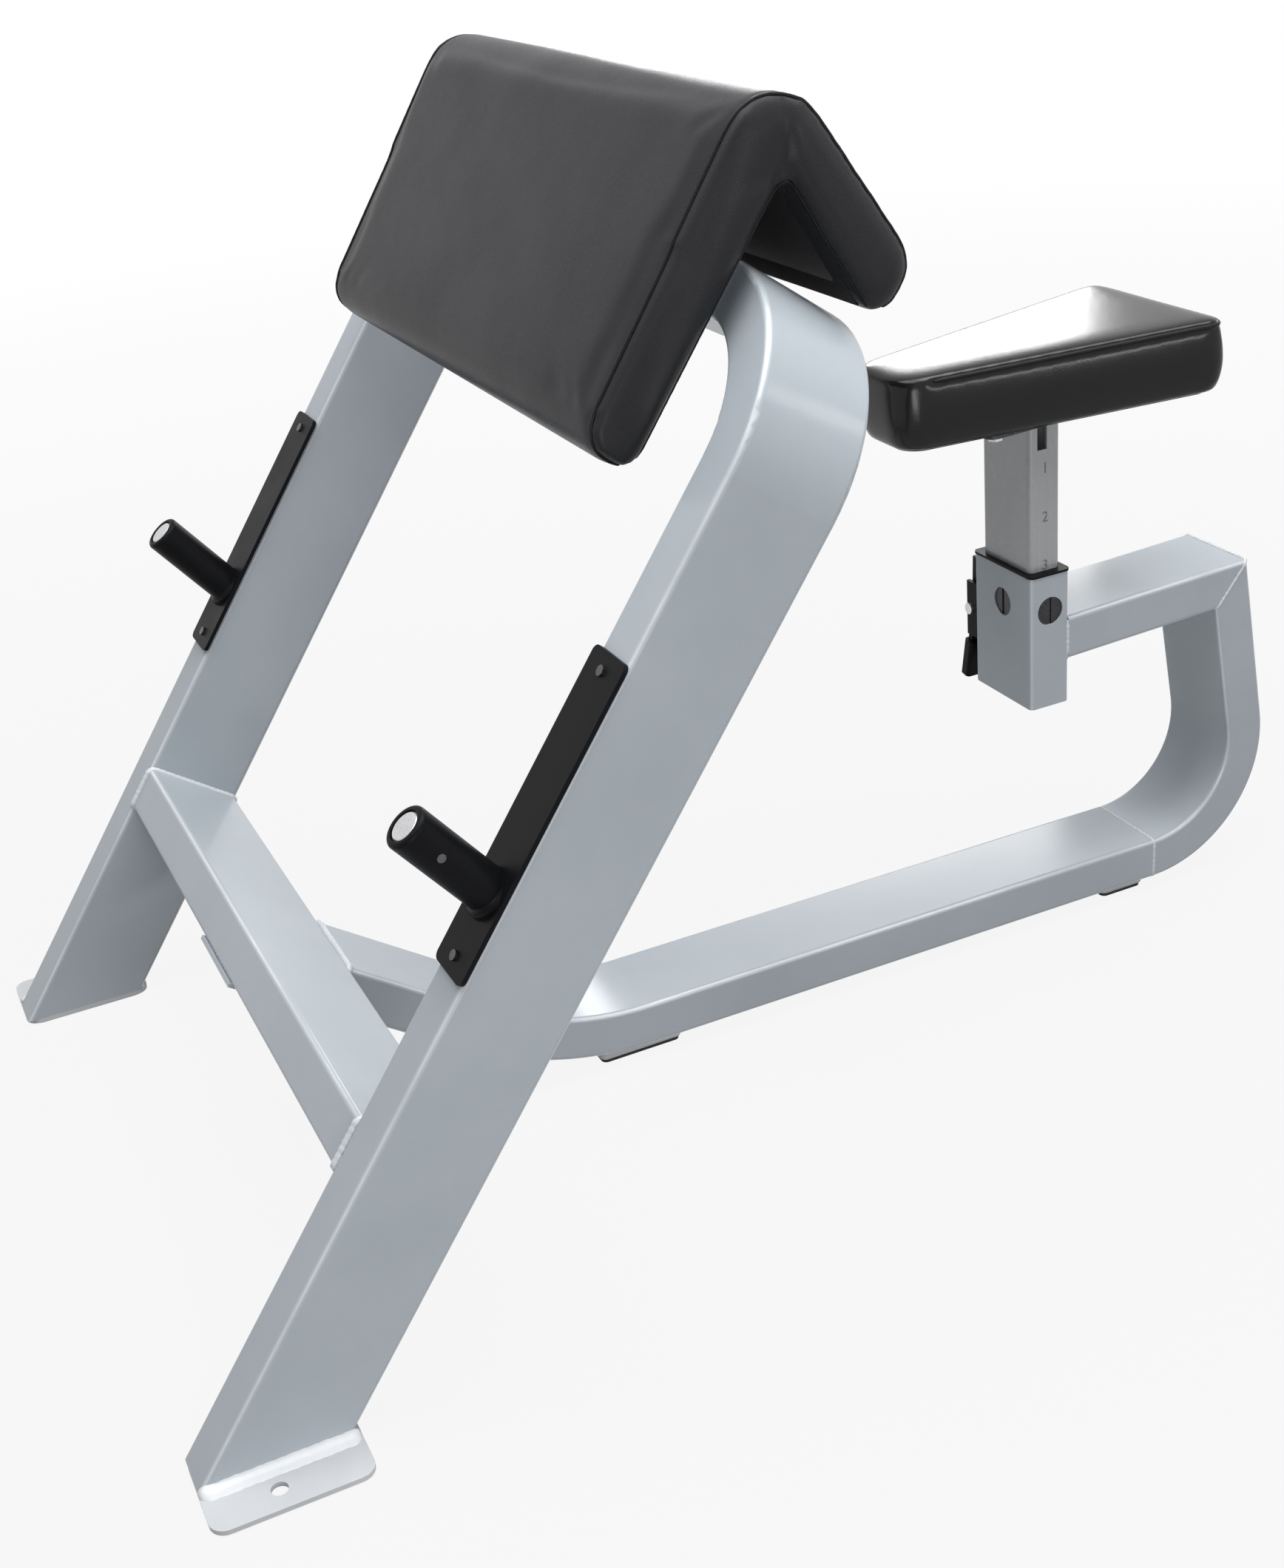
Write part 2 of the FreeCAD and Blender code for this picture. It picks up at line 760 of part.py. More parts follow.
lower = lower.cut(level_block(guide_width, guide_depth, guide_corner, receiver_bottom, lower_top))
write("receiver_lower_liner", at_post(lower))

# Seat post with latch slots down its far face, and the plug in its lower end

post_top = seat_height - seat_plate_thickness
post_bottom = post_end_step + receiver_bottom
plate_y = post_middle + post_top * math.tan(math.radians(seat_tilt - post_lean))
above_post = at_seat(beyond(Vector(0, plate_y, post_top), along_z))
post_inner_corner = post_corner_radius - post_wall
post_inner_width = post_width - post_wall * 2
post_inner_depth = post_depth - post_wall * 2
post = level_block(post_width, post_depth, post_corner_radius, post_bottom, seat_height)
post = post.cut(level_block(
    post_inner_width, post_inner_depth, post_inner_corner, post_bottom, seat_height
))
slot_bottom = pawl_bottom - slot_low_height
for i in range(-slots_below_rest, slots_above_rest + 1):
    low = slot_bottom + slot_pitch * i
    post = post.cut(box(
        Vector(-post_width, post_middle - window_half, low),
        Vector(0, post_middle + window_half, low + slot_height),
    ))
top_slot_y = post_middle - post_slot_step
post = post.cut(box(
    Vector(0, top_slot_y - post_slot_width / 2, post_top - post_slot_length),
    Vector(post_width, top_slot_y + post_slot_width / 2, seat_height),
))
write("seat_post", at_post(post).cut(above_post))
end_plug = level_block(
    post_width, post_depth, post_corner_radius, post_bottom - end_plug_flange, post_bottom
)
end_plug = end_plug.fuse(level_block(
    post_inner_width, post_inner_depth, post_inner_corner, post_bottom, post_bottom + end_plug_length
))
write("post_end_plug", at_post(end_plug.removeSplitter()))

# Seat plate, board and bolts

plate_middle = Vector(0, plate_y, post_top)
seat_plate = prism(
    rectangle(plate_middle, along_x, seat_plate_width, along_y, seat_plate_length, seat_plate_corner),
    along_z * seat_plate_thickness,
)
seat_front = -seat_reach
seat_rear = seat_front + seat_length
seat_taper = (seat_rear_half_width - seat_front_half_width) / seat_length


def seat_outline(level, inset):
    front = seat_front + inset
    rear = seat_rear - inset
    front_half = seat_front_half_width + seat_taper * inset - inset
    rear_half = seat_rear_half_width - seat_taper * inset - inset
    points = [
        Vector(-front_half, front, level),
        Vector(front_half, front, level),
        Vector(rear_half, rear, level),
        Vector(-rear_half, rear, level),
    ]
    front_corner = seat_front_corner * front_half / seat_front_half_width
    rear_corner_radius = seat_rear_corner * rear_half / seat_rear_half_width
    radii = [front_corner, front_corner, rear_corner_radius, rear_corner_radius]
    return rounded_outline(points, radii)


seat_board = prism(seat_outline(seat_height, seat_board_inset), along_z * seat_board_thickness)
seat_shank = seat_plate_thickness + seat_board_thickness * bolt_bite_share
bolt_x = seat_plate_width / 2 - seat_bolt_edge
bolt_y = seat_plate_length / 2 - seat_bolt_edge
seat_bolts = []
for side_x in (-1, 1):
    for side_y in (-1, 1):
        point = Vector(bolt_x * side_x, plate_y + bolt_y * side_y, post_top)
        hole = rod(bolt_hole, point, point + along_z * (seat_shank + fit_gap))
        seat_plate = seat_plate.cut(hole)
        seat_board = seat_board.cut(hole)
        seat_bolts.append(at_seat(hex_bolt(point, Vector(0, 0, 1), seat_shank)))
write("seat_plate", at_seat(seat_plate))
write("seat_board", at_seat(seat_board))
write_group("seat_bolts", seat_bolts)

# Seat cushion: narrow under, swelling at the sides, crowned on top

cushion_low = seat_height + soft_gap
seam = seat_height + seat_side_height
bulge_level = seat_height + seat_side_height * seat_bulge_share
shoulder_level = seam + seat_crown * seat_shoulder_share
shoulder_draw = seat_crown_draw * (1 - seat_shoulder_share)
side_sections = [
    seat_outline(cushion_low, seat_underside_draw),
    seat_outline(bulge_level, -seat_bulge),
    seat_outline(seam, 0),
]
top_sections = [
    seat_outline(seam, 0),
    seat_outline(shoulder_level, shoulder_draw),
    seat_outline(seam + seat_crown, seat_crown_draw),
]
seat_cushion = Part.makeLoft(side_sections, True, False)
seat_cushion = seat_cushion.fuse(Part.makeLoft(top_sections, True, False))
pocket_height = seat_board_thickness + soft_gap
pocket = prism(seat_outline(seat_height, seat_board_inset - soft_gap), along_z * pocket_height)
write("seat_cushion", at_seat(seat_cushion.cut(pocket)))

# Latch bracket, pin and leaf spring on the far face of the receiver

far_face = -half_width
pivot_x = far_face - latch_pivot_out
bracket_half = latch_bracket_width / 2
bracket_low = -latch_pivot_depth - latch_bracket_height / 2
bracket_high = bracket_low + latch_bracket_height
ear_front = post_middle - bracket_half
ear_rear = post_middle + bracket_half
latch_bracket = box(
    Vector(far_face - latch_ear_reach, ear_front, bracket_low),
    Vector(far_face, ear_rear, bracket_high),
)
latch_bracket = latch_bracket.cut(box(
    Vector(far_face - latch_ear_reach, ear_front + latch_ear_thickness, bracket_low),
    Vector(far_face - latch_bracket_base, ear_rear - latch_ear_thickness, bracket_high),
))
pin_front = Vector(pivot_x, ear_front, -latch_pivot_depth)
pin_rear = Vector(pivot_x, ear_rear, -latch_pivot_depth)
latch_pin_radius = latch_pin_diameter / 2
latch_bracket = latch_bracket.cut(rod(latch_pin_radius + fit_gap, pin_front, pin_rear))
write("latch_bracket", at_post(latch_bracket))
head_run = along_y * latch_pin_head_height
head_radius = latch_pin_head_diameter / 2
latch_pin = rod(latch_pin_radius, pin_front, pin_rear)
latch_pin = latch_pin.fuse(rod(head_radius, pin_front - head_run, pin_front))
latch_pin = latch_pin.fuse(rod(head_radius, pin_rear, pin_rear + head_run))
write("latch_pin", at_post(latch_pin.removeSplitter()))

leaf_y = post_middle - leaf_width / 2
leaf_low = -leaf_top_depth - leaf_foot_length
leaf_points = [
    Vector(far_face, leaf_y, -leaf_top_depth),
    Vector(far_face, leaf_y, leaf_low),
    Vector(far_face - leaf_tip_out + leaf_thickness, leaf_y, -leaf_tip_depth),
    Vector(far_face - leaf_tip_out, leaf_y, -leaf_tip_depth),
    Vector(far_face - leaf_thickness, leaf_y, leaf_low + leaf_thickness),
    Vector(far_face - leaf_thickness, leaf_y, -leaf_top_depth),
]
write("latch_spring", at_post(polygon_prism(leaf_points, along_y * leaf_width)))

# Lever with its pawl, and the grip on its lower end

lever_width = latch_bracket_width - latch_ear_thickness * 2 - lever_side_gap * 2
lever_front = post_middle - lever_width / 2
lever_run = along_y * lever_width
half_strap = lever_thickness / 2


def strap(start, end, front, run):
    side = (end - start).cross(along_y).normalize() * half_strap
    points = [start - side, end - side, end + side, start + side]
    return polygon_prism([point + along_y * front for point in points], run)


top_point = Vector(far_face - lever_top_out, 0, lever_top)
pivot_point = Vector(pivot_x, 0, -latch_pivot_depth)
bottom_point = Vector(far_face - lever_bottom_out, 0, -lever_bottom)
upper_strap = strap(top_point, pivot_point, lever_front, lever_run)
lower_strap = strap(pivot_point, bottom_point, lever_front, lever_run)
boss_start = pivot_point + along_y * lever_front
boss = rod(lever_boss_radius, boss_start, boss_start + lever_run)
pawl_front = post_middle - pawl_width / 2
pawl_tip = -post_width / 2 - pawl_clear
pawl = box(
    Vector(far_face - lever_top_out, pawl_front, pawl_bottom),
    Vector(pawl_tip, pawl_front + pawl_width, pawl_top),
)
lever = upper_strap.fuse([lower_strap, boss, pawl]).removeSplitter()
lever = lever.cut(rod(latch_pin_radius + run_gap, boss_start, boss_start + lever_run))
write("latch_lever", at_post(lever))

strap_way = (bottom_point - pivot_point).normalize()
strap_side = strap_way.cross(along_y).normalize()
grip_end = bottom_point + strap_way * grip_wall + along_y * post_middle
grip_outline = rectangle(
    grip_end, along_y, lever_width + grip_side_wall * 2, strap_side,
    lever_thickness + grip_wall * 2, grip_corner
)
grip = prism(grip_outline, strap_way * -grip_height)
write("latch_grip", at_post(grip.cut(lower_strap)))
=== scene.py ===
import bpy
import math
from mathutils import Matrix, Vector
from mathutils.bvhtree import BVHTree
from mathutils.kdtree import KDTree


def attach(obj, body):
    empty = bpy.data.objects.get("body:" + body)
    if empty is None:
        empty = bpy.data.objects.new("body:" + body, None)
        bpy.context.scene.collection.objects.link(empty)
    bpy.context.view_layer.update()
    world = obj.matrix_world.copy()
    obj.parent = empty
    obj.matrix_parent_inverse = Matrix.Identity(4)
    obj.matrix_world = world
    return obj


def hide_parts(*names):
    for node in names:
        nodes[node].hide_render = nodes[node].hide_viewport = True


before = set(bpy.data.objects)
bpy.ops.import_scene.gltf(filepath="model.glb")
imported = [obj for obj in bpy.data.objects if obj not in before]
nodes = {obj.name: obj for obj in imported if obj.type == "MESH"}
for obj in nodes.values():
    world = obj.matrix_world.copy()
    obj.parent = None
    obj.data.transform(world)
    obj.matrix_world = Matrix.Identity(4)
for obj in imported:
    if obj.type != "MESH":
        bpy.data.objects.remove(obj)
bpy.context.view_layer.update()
scene = bpy.context.scene
scene.view_settings.view_transform = "Standard"

# Camera, fitted to the bench's straight edges: it stands to the right of the
# bench, a little in front of it, looking down with a slight roll.
camera_place = (1.5912, -0.7327, 1.1333)
camera_right = (0.42233, 0.90277, -0.08146)
camera_up = (-0.37445, 0.25560, 0.89132)
camera_back = (0.82548, -0.34593, 0.44599)
camera = bpy.data.objects.new("camera", bpy.data.cameras.new("camera"))
camera.data.sensor_fit = "VERTICAL"
camera.data.sensor_height = 24
camera.data.lens = 30.69
camera.data.clip_end = 100
camera_axes = Matrix((camera_right, camera_up, camera_back)).transposed()
camera.matrix_world = Matrix.Translation(camera_place) @ camera_axes.to_4x4()
scene.collection.objects.link(camera)
scene.camera = camera

# Light and floor: a white room and a pale matt floor that keeps the shadow.
# Three wide lamps hang above; four smaller ones stand at the right and behind,
# and their reflections lie on the seat, the bends and the pad's ridge.
plain_white = (1, 1, 1, 1)
room_tint = (0.97, 0.985, 1, 1)
room_strength = 0.1
floor_reach = 30
floor_dark = (0.24, 0.24, 0.24)
floor_pale = (0.28, 0.28, 0.28)
near_distance, far_distance = 0.9, 4.5
near_white, far_white = 0.9, 1


def fill(tree, socket, value):
    if isinstance(value, bpy.types.NodeSocket):
        tree.links.new(value, socket)
    else:
        socket.default_value = value


def put(tree, kind, settings=None, **sockets):
    node = tree.nodes.new("ShaderNode" + kind)
    for name, value in (settings or {}).items():
        setattr(node, name, value)
    for name, value in sockets.items():
        fill(tree, node.inputs[name.replace("_", " ")], value)
    return node


def worked(tree, kind, operation, *values):
    node = put(tree, kind, {"operation": operation})
    for socket, value in zip(node.inputs, values):
        fill(tree, socket, value)
    return node.outputs


def sums(tree, operation, *values):
    return worked(tree, "Math", operation, *values)["Value"]


def ramp(tree, factor, *stops):
    node = put(tree, "ValToRGB", Fac=factor)
    while len(node.color_ramp.elements) < len(stops):
        node.color_ramp.elements.new(0.5)
    for element, (place, colour) in zip(node.color_ramp.elements, stops):
        element.position = place
        element.color = (*colour, 1)
    return node.outputs["Color"]


def spread(tree, factor, low, high, start=0.3, end=0.7):
    node = put(tree, "MapRange", Value=factor, From_Min=start, From_Max=end, To_Min=low, To_Max=high)
    return node.outputs["Result"]


def direct_rays(tree):
    path = put(tree, "LightPath").outputs
    seen = sums(tree, "MAXIMUM", path["Is Camera Ray"], path["Is Glossy Ray"])
    return sums(tree, "MAXIMUM", seen, path["Is Transmission Ray"])


def mixed(tree, share, lit, plain):
    mix = put(tree, "MixShader", Fac=share)
    tree.links.new(lit, mix.inputs[1])
    tree.links.new(plain, mix.inputs[2])
    return mix.outputs["Shader"]


world = bpy.data.worlds.new("surround")
scene.world = world
world.use_nodes = True
tree = world.node_tree
tree.nodes.clear()
lit = put(tree, "Background", Color=room_tint, Strength=room_strength).outputs["Background"]
white = put(tree, "Background", Color=plain_white, Strength=1).outputs["Background"]
put(tree, "OutputWorld", Surface=mixed(tree, direct_rays(tree), lit, white))

floor_corners = [(-1, -1), (1, -1), (1, 1), (-1, 1)]
floor_mesh = bpy.data.meshes.new("floor")
floor_mesh.from_pydata([(x * floor_reach, y * floor_reach, 0) for x, y in floor_corners], [], [(0, 1, 2, 3)])
floor = bpy.data.objects.new("floor", floor_mesh)
scene.collection.objects.link(floor)
floor_white = bpy.data.materials.new("floor_white")
floor_white.use_nodes = True
tree = floor_white.node_tree
tree.nodes.clear()
away = worked(tree, "VectorMath", "LENGTH", put(tree, "TexCoord").outputs["Object"])["Value"]
whiteness = spread(tree, away, near_white, far_white, near_distance, far_distance)
share = sums(tree, "MULTIPLY", direct_rays(tree), whiteness)
mottle = put(tree, "TexNoise", Scale=3, Detail=3).outputs["Fac"]
matt = put(tree, "BsdfDiffuse", Color=ramp(tree, mottle, (0.3, floor_dark), (0.7, floor_pale)))
glow = put(tree, "Emission", Color=plain_white, Strength=1)
put(tree, "OutputMaterial", Surface=mixed(tree, share, matt.outputs["BSDF"], glow.outputs["Emission"]))
floor.data.materials.append(floor_white)


def lamp(name, place, target, width, height, power):
    data = bpy.data.lights.new(name, "AREA")
    data.shape = "RECTANGLE"
    data.size = width
    data.size_y = height
    data.energy = power
    made = bpy.data.objects.new(name, data)
    made.location = place
    made.rotation_euler = (Vector(target) - Vector(place)).to_track_quat("-Z", "Y").to_euler()
    scene.collection.objects.link(made)


lamp("overhead", (0.35, 0, 3.1), (0.3, 0, 0), width=2.2, height=2.2, power=76)
lamp("front_high", (0, -1.5, 2.9), (0.1, -0.4, 0.3), width=1.4, height=1.4, power=24)
lamp("right_low", (1.9, -0.75, 0.4), (0.3, -0.4, 0.25), width=0.6, height=0.6, power=9)
lamp("right_strip", (2.9, 1, 0.95), (0.08, 0.35, 0.61), width=1.1, height=0.1, power=12)
lamp("back_left", (-2.23, 1.45, 1.27), (0, 0.4, 0.6), width=0.95, height=0.34, power=16)
lamp("back_right", (1.81, 2.65, 1.61), (0.3, 0, 0.7), width=1.1, height=0.22, power=5)
lamp("rear_high", (0.4, 1.3, 2.9), (0.1, 0.5, 0.3), width=1.4, height=1.4, power=33)


# Frame tubes: bent and welded flat steel tube under silver-grey powder coat, which
# has a slight orange peel and flecks and is a little cloudy over long runs. Its colour
# is painted paler along the tube's rounded corners, a painted highlight, where the coat
# is also thicker, and lighter at bevelled edges, partly as wear, partly as painted highlight.
# The fourth shade is the pale colour that edges and corners are painted in, a painted highlight.
paint_shades = (
    (0.389, 0.43, 0.468), (0.419, 0.461, 0.502), (0.47, 0.51, 0.547), (0.755, 0.79, 0.823),
)
hoop_lean = math.radians(35.6)
hoop_square = (0, math.cos(hoop_lean), -math.sin(hoop_lean))
rail_square = (1, 0, 0)
flat_coat, corner_coat = 0.35, 1
cloud_share, fleck_share, wear_and_sheen_share, corner_highlight_share = 0.33, 0.33, 0.23, 0.42


def group(name, inputs, outputs):
    tree = bpy.data.node_groups.new(name, "ShaderNodeTree")
    for label, value in inputs:
        socket = tree.interface.new_socket(label, in_out="INPUT", socket_type="NodeSocketFloat")
        socket.default_value = value
    for label, kind in outputs:
        tree.interface.new_socket(label, in_out="OUTPUT", socket_type="NodeSocket" + kind)
    return tree, tree.nodes.new("NodeGroupInput").outputs, tree.nodes.new("NodeGroupOutput")


def use(tree, shared, **values):
    return put(tree, "Group", {"node_tree": shared}, **values).outputs


def surface(name, **constants):
    material = bpy.data.materials.new(name)
    material.use_nodes = True
    tree = material.node_tree
    tree.nodes.clear()
    shader = put(tree, "BsdfPrincipled", **constants)
    put(tree, "OutputMaterial", Surface=shader.outputs["BSDF"])
    return material, tree, shader


def wire(tree, node, **links):
    for name, value in links.items():
        tree.links.new(value, node.inputs[name.replace("_", " ")])


def paint(material, *names):
    for name in names:
        for slot in nodes[name].material_slots:
            slot.material = material


grain, given, result = group(
    "fine_grain", [("Scale", 300), ("Strength", 0.2), ("Depth", 0.001)],
    [("Fac", "Float"), ("Normal", "Vector")],
)
place = put(grain, "TexCoord").outputs["Object"]
noise = put(grain, "TexNoise", Vector=place, Scale=given["Scale"], Detail=5, Roughness=0.6).outputs["Fac"]
bump = put(grain, "Bump", Strength=given["Strength"], Distance=given["Depth"], Height=noise)
wire(grain, result, Fac=noise, Normal=bump.outputs["Normal"])

# Mask of bevelled edges in patches: the colour is lighter there, partly as edge wear and partly as a painted
# highlight.
wear_and_sheen, given, result = group("edge_wear_and_sheen", [("Reach", 0.002), ("Patch", 60)], [("Fac", "Float")])
rounded = put(wear_and_sheen, "Bevel", {"samples": 6}, Radius=given["Reach"]).outputs["Normal"]
flat = put(wear_and_sheen, "NewGeometry").outputs["Normal"]
same = worked(wear_and_sheen, "VectorMath", "DOT_PRODUCT", rounded, flat)["Value"]
edge = spread(wear_and_sheen, same, 1, 0, 0.8, 0.995)
place = put(wear_and_sheen, "TexCoord").outputs["Object"]
patch = put(wear_and_sheen, "TexNoise", Vector=place, Scale=given["Patch"], Detail=4).outputs["Fac"]
wire(wear_and_sheen, result, Fac=sums(wear_and_sheen, "MULTIPLY", edge, spread(wear_and_sheen, patch, 0.25, 1, 0.35, 0.65)))

# Mask of a tube's rounded corners, from the normal against the tube's square: the paint is painted paler
# there as a painted highlight.
corner_highlight, given, result = group("corner_painted_highlight", [("X", 0), ("Y", 0), ("Z", 0)], [("Fac", "Float")])
square = put(corner_highlight, "CombineXYZ", X=given["X"], Y=given["Y"], Z=given["Z"]).outputs["Vector"]
flat = put(corner_highlight, "NewGeometry").outputs["Normal"]
turned = worked(corner_highlight, "VectorMath", "DOT_PRODUCT", flat, square)["Value"]
facing = sums(corner_highlight, "ABSOLUTE", turned)
leaving = spread(corner_highlight, facing, 0, 1, 0.35, 0.65)
nearing = spread(corner_highlight, facing, 1, 0, 0.8, 0.98)
wire(corner_highlight, result, Fac=sums(corner_highlight, "MULTIPLY", leaving, nearing))


def powder_coat(name, dark, middle, light, edge, square=None):
    material, tree, shader = surface(
        name, Metallic=0.05, Specular_IOR_Level=0.1, Coat_Weight=flat_coat, Coat_Roughness=0.14
    )
    peel = use(tree, grain, Scale=420, Strength=0.05, Depth=0.0004)
    cloud = use(tree, grain, Scale=5, Strength=0, Depth=0.001)
    fleck = use(tree, grain, Scale=2600, Strength=0, Depth=0.001)
    worn_and_sheen = use(tree, wear_and_sheen, Reach=0.0015, Patch=45)
    clouded = spread(tree, cloud["Fac"], 0, cloud_share)
    shade = sums(tree, "ADD", clouded, spread(tree, fleck["Fac"], 0, fleck_share, 0.2, 0.8))
    # Bevelled edges are painted lighter, partly as wear and partly as a painted highlight.
    shade = sums(tree, "MULTIPLY_ADD", worn_and_sheen["Fac"], wear_and_sheen_share, shade)
    # Rounded corners are painted paler toward the fourth shade, a painted highlight, and get a thicker coat.
    if square:
        corner_highlight_mask = use(tree, corner_highlight, X=square[0], Y=square[1], Z=square[2])
        shade = sums(tree, "MULTIPLY_ADD", corner_highlight_mask["Fac"], corner_highlight_share, shade)
        wire(tree, shader, Coat_Weight=spread(tree, corner_highlight_mask["Fac"], flat_coat, corner_coat))
    colour = ramp(tree, shade, (0.1, dark), (0.33, middle), (0.62, light), (1, edge))
    wire(
        tree, shader, Base_Color=colour, Normal=peel["Normal"],
        Roughness=spread(tree, cloud["Fac"], 0.42, 0.5),
    )
    return material


hoop_paint = powder_coat("hoop_paint", *paint_shades, hoop_square)
paint(hoop_paint, "front_hoop_tube", "cross_brace_tube")
frame_paint = powder_coat("frame_paint", *paint_shades, rail_square)
paint(
    frame_paint, "spine_rail_tube", "rear_upright_tube", "seat_arm_tube", "seat_post_receiver",
    "spine_gusset_plate", "left_pad_bracket", "right_pad_bracket",
)


# Welds: rippled beads where the tubes meet each other, in a paler copy of the frame's paint, a painted
# highlight where the beads catch light.
# Each follows a rounded outline or a straight line in the frame it is drawn in.
tube_width, tube_thickness = 0.1, 0.046
hoop_frame = Matrix.Translation((0, -0.65319, 0)) @ Matrix.Rotation(-hoop_lean, 4, "X")
post_place = Matrix.Translation((0, 0.34631, 0.349))
seat_frame = post_place @ Matrix.Rotation(math.radians(2.5), 4, "X")
post_frame = post_place @ Matrix.Rotation(math.radians(0.5), 4, "X")
x_axis, y_axis, z_axis = Vector((1, 0, 0)), Vector((0, 1, 0)), Vector((0, 0, 1))
bead_step, bead_ripple, ripple_pitch = 0.0022, 0.0004, 2.6
brace_end, brace_height = 0.355, 0.2945
bracket_middle, bracket_half, bracket_root = 0.245, 0.03, -0.001
bracket_ends = (0.964, 1.004)
gusset_side, gusset_top = 0.049, 0.269
gusset_ends = (0.104, 0.157)
ground_depth, ground_corner, ground_radius = 0.0034, 0.0035, 0.0025
rail_joint = Vector((0, 0.50889, 0.038))
upright_lean = math.radians(9.5)
arm_end = 0.25
receiver_half, receiver_back, receiver_lift = 0.046, 0.0465, 0.0016
receiver_beads = ((0.0, 0.0005), (-tube_thickness, -0.0005))
receiver_side, receiver_side_back = 0.047, 0.0452
receiver_side_ends = (-0.044, -0.002)
bracket_bead, gusset_bead, receiver_bead, receiver_side_bead = 0.0025, 0.0022, 0.0036, 0.0032


def piece(name, mesh, material, body):
    made = bpy.data.objects.new(name, mesh)
    made.data.materials.clear()
    made.data.materials.append(material)
    scene.collection.objects.link(made)
    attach(made, body)
    return made


def corner_points(points, radii, step=0.002):
    count = len(points)
    made = []
    for i, (point, radius) in enumerate(zip(points, radii)):
        before = (points[i - 1] - point).normalized()
        after = (points[(i + 1) % count] - point).normalized()
        half = before.angle(after) / 2
        middle = point + (before + after).normalized() * (radius / math.sin(half))
        start = point + before * (radius / math.tan(half)) - middle
        end = point + after * (radius / math.tan(half)) - middle
        turn = start.angle(end)
        steps = max(1, round(radius * turn / step))
        for k in range(steps + 1):
            share = k / steps
            bent = start * math.sin((1 - share) * turn) + end * math.sin(share * turn)
            made.append(middle + bent / math.sin(turn))
    return made


def resample(points, step, closed, short_share=0.6):
    if closed:
        points = points + [points[0]]
    made = [points[0].copy()]
    left = step
    for a, b in zip(points, points[1:]):
        run = (b - a).length
        at = 0
        while run - at >= left:
            at += left
            made.append(a.lerp(b, at / run))
            left = step
        left -= run - at
    if not closed:
        made.append(points[-1].copy())
    elif (made[-1] - made[0]).length < step * short_share:
        made.pop()
    return made


def bead_rings(points, closed, radius, ripple, pitch, sides=10):
    uneven_share, uneven_turn = 0.4, 1.7
    tip_share, tip_steps = 0.3, 4
    rings = []
    count = len(points)
    angles = [k * 2 * math.pi / sides for k in range(sides)]
    for i, point in enumerate(points):
        before = points[i - 1] if closed or i else points[0]
        after = points[(i + 1) % count] if closed or i < count - 1 else points[-1]
        way = (after - before).normalized()
        side = (last - way * last.dot(way)).normalized() if rings else way.orthogonal().normalized()
        last = side
        up = way.cross(side)
        wave = math.sin(2 * math.pi * i / pitch) + uneven_share * math.sin(i * uneven_turn)
        swell = radius + ripple * wave
        if not closed:
            swell *= min(1, math.sqrt((min(i, count - 1 - i) + tip_share) / tip_steps))
        rings.append([point + (side * math.cos(angle) + up * math.sin(angle)) * swell for angle in angles])
    return rings


def skin(rings, closed):
    sides = len(rings[0])
    corners = [tuple(p) for ring in rings for p in ring]
    faces = []
    for i in range(len(rings) if closed else len(rings) - 1):
        j = (i + 1) % len(rings)
        for k in range(sides):
            n = (k + 1) % sides
            faces.append((i * sides + k, i * sides + n, j * sides + n, j * sides + k))
    if not closed:
        faces.append(tuple(range(sides))[::-1])
        faces.append(tuple(len(corners) - sides + k for k in range(sides)))
    return corners, faces


def mesh_of(name, parts):
    corners, faces = [], []
    for some_corners, some_faces in parts:
        start = len(corners)
        corners += some_corners
        faces += [tuple(start + i for i in face) for face in some_faces]
    mesh = bpy.data.meshes.new(name)
    mesh.from_pydata(corners, [], faces)
    mesh.polygons.foreach_set("use_smooth", [True] * len(faces))
    return mesh


def outline(centre, across, up, wide, high, radius=0.005):
    a, b = across * (wide / 2), up * (high / 2)
    points = [centre - a - b, centre + a - b, centre + a + b, centre - a + b]
    return corner_points(points, [radius] * 4)


def bead(points, closed, radius=0.003):
    points = resample(points, bead_step, closed)
    return skin(bead_rings(points, closed, radius, bead_ripple, ripple_pitch), closed)


def ground_bead(centre, up, high):
    line = outline(centre, x_axis, up, tube_width - ground_depth, high - ground_depth, ground_corner)
    return bead(line, True, ground_radius)


beads = []
hoop_turn = hoop_frame.to_3x3()
for side in (-1, 1):
    middle = hoop_frame @ Vector((side * brace_end, tube_width / 2, brace_height))
    around = outline(middle, hoop_turn @ y_axis, hoop_turn @ z_axis, tube_width, tube_thickness)
    beads.append(bead(around, True))
    for edge in (-bracket_half, bracket_half):
        x = side * bracket_middle + edge
        ends = [hoop_frame @ Vector((x, bracket_root, height)) for height in bracket_ends]
        beads.append(bead(ends, False, bracket_bead))
    ends = [hoop_frame @ Vector((side * gusset_side, depth, gusset_top)) for depth in gusset_ends]
    beads.append(bead(ends, False, gusset_bead))
middle = hoop_frame @ Vector((0, tube_width, brace_height))
beads.append(bead(outline(middle, x_axis, hoop_turn @ z_axis, tube_width, tube_thickness), True))
beads.append(ground_bead(rail_joint, z_axis, tube_thickness))
up_way = Vector((0, -math.tan(upright_lean), 1)).normalized()
arm_way = seat_frame.to_3x3() @ -y_axis
mitre_way = (up_way + arm_way).normalized().cross(x_axis)
mitre_high = tube_thickness / abs(mitre_way.dot(arm_way.cross(x_axis)))
beads.append(ground_bead(seat_frame @ Vector((0, arm_end, -tube_thickness / 2)), mitre_way, mitre_high))
for height, lift in receiver_beads:
    z = height + receiver_lift + lift
    ends = [post_frame @ Vector((side * receiver_half, receiver_back, z)) for side in (-1, 1)]
    beads.append(bead(ends, False, receiver_bead))
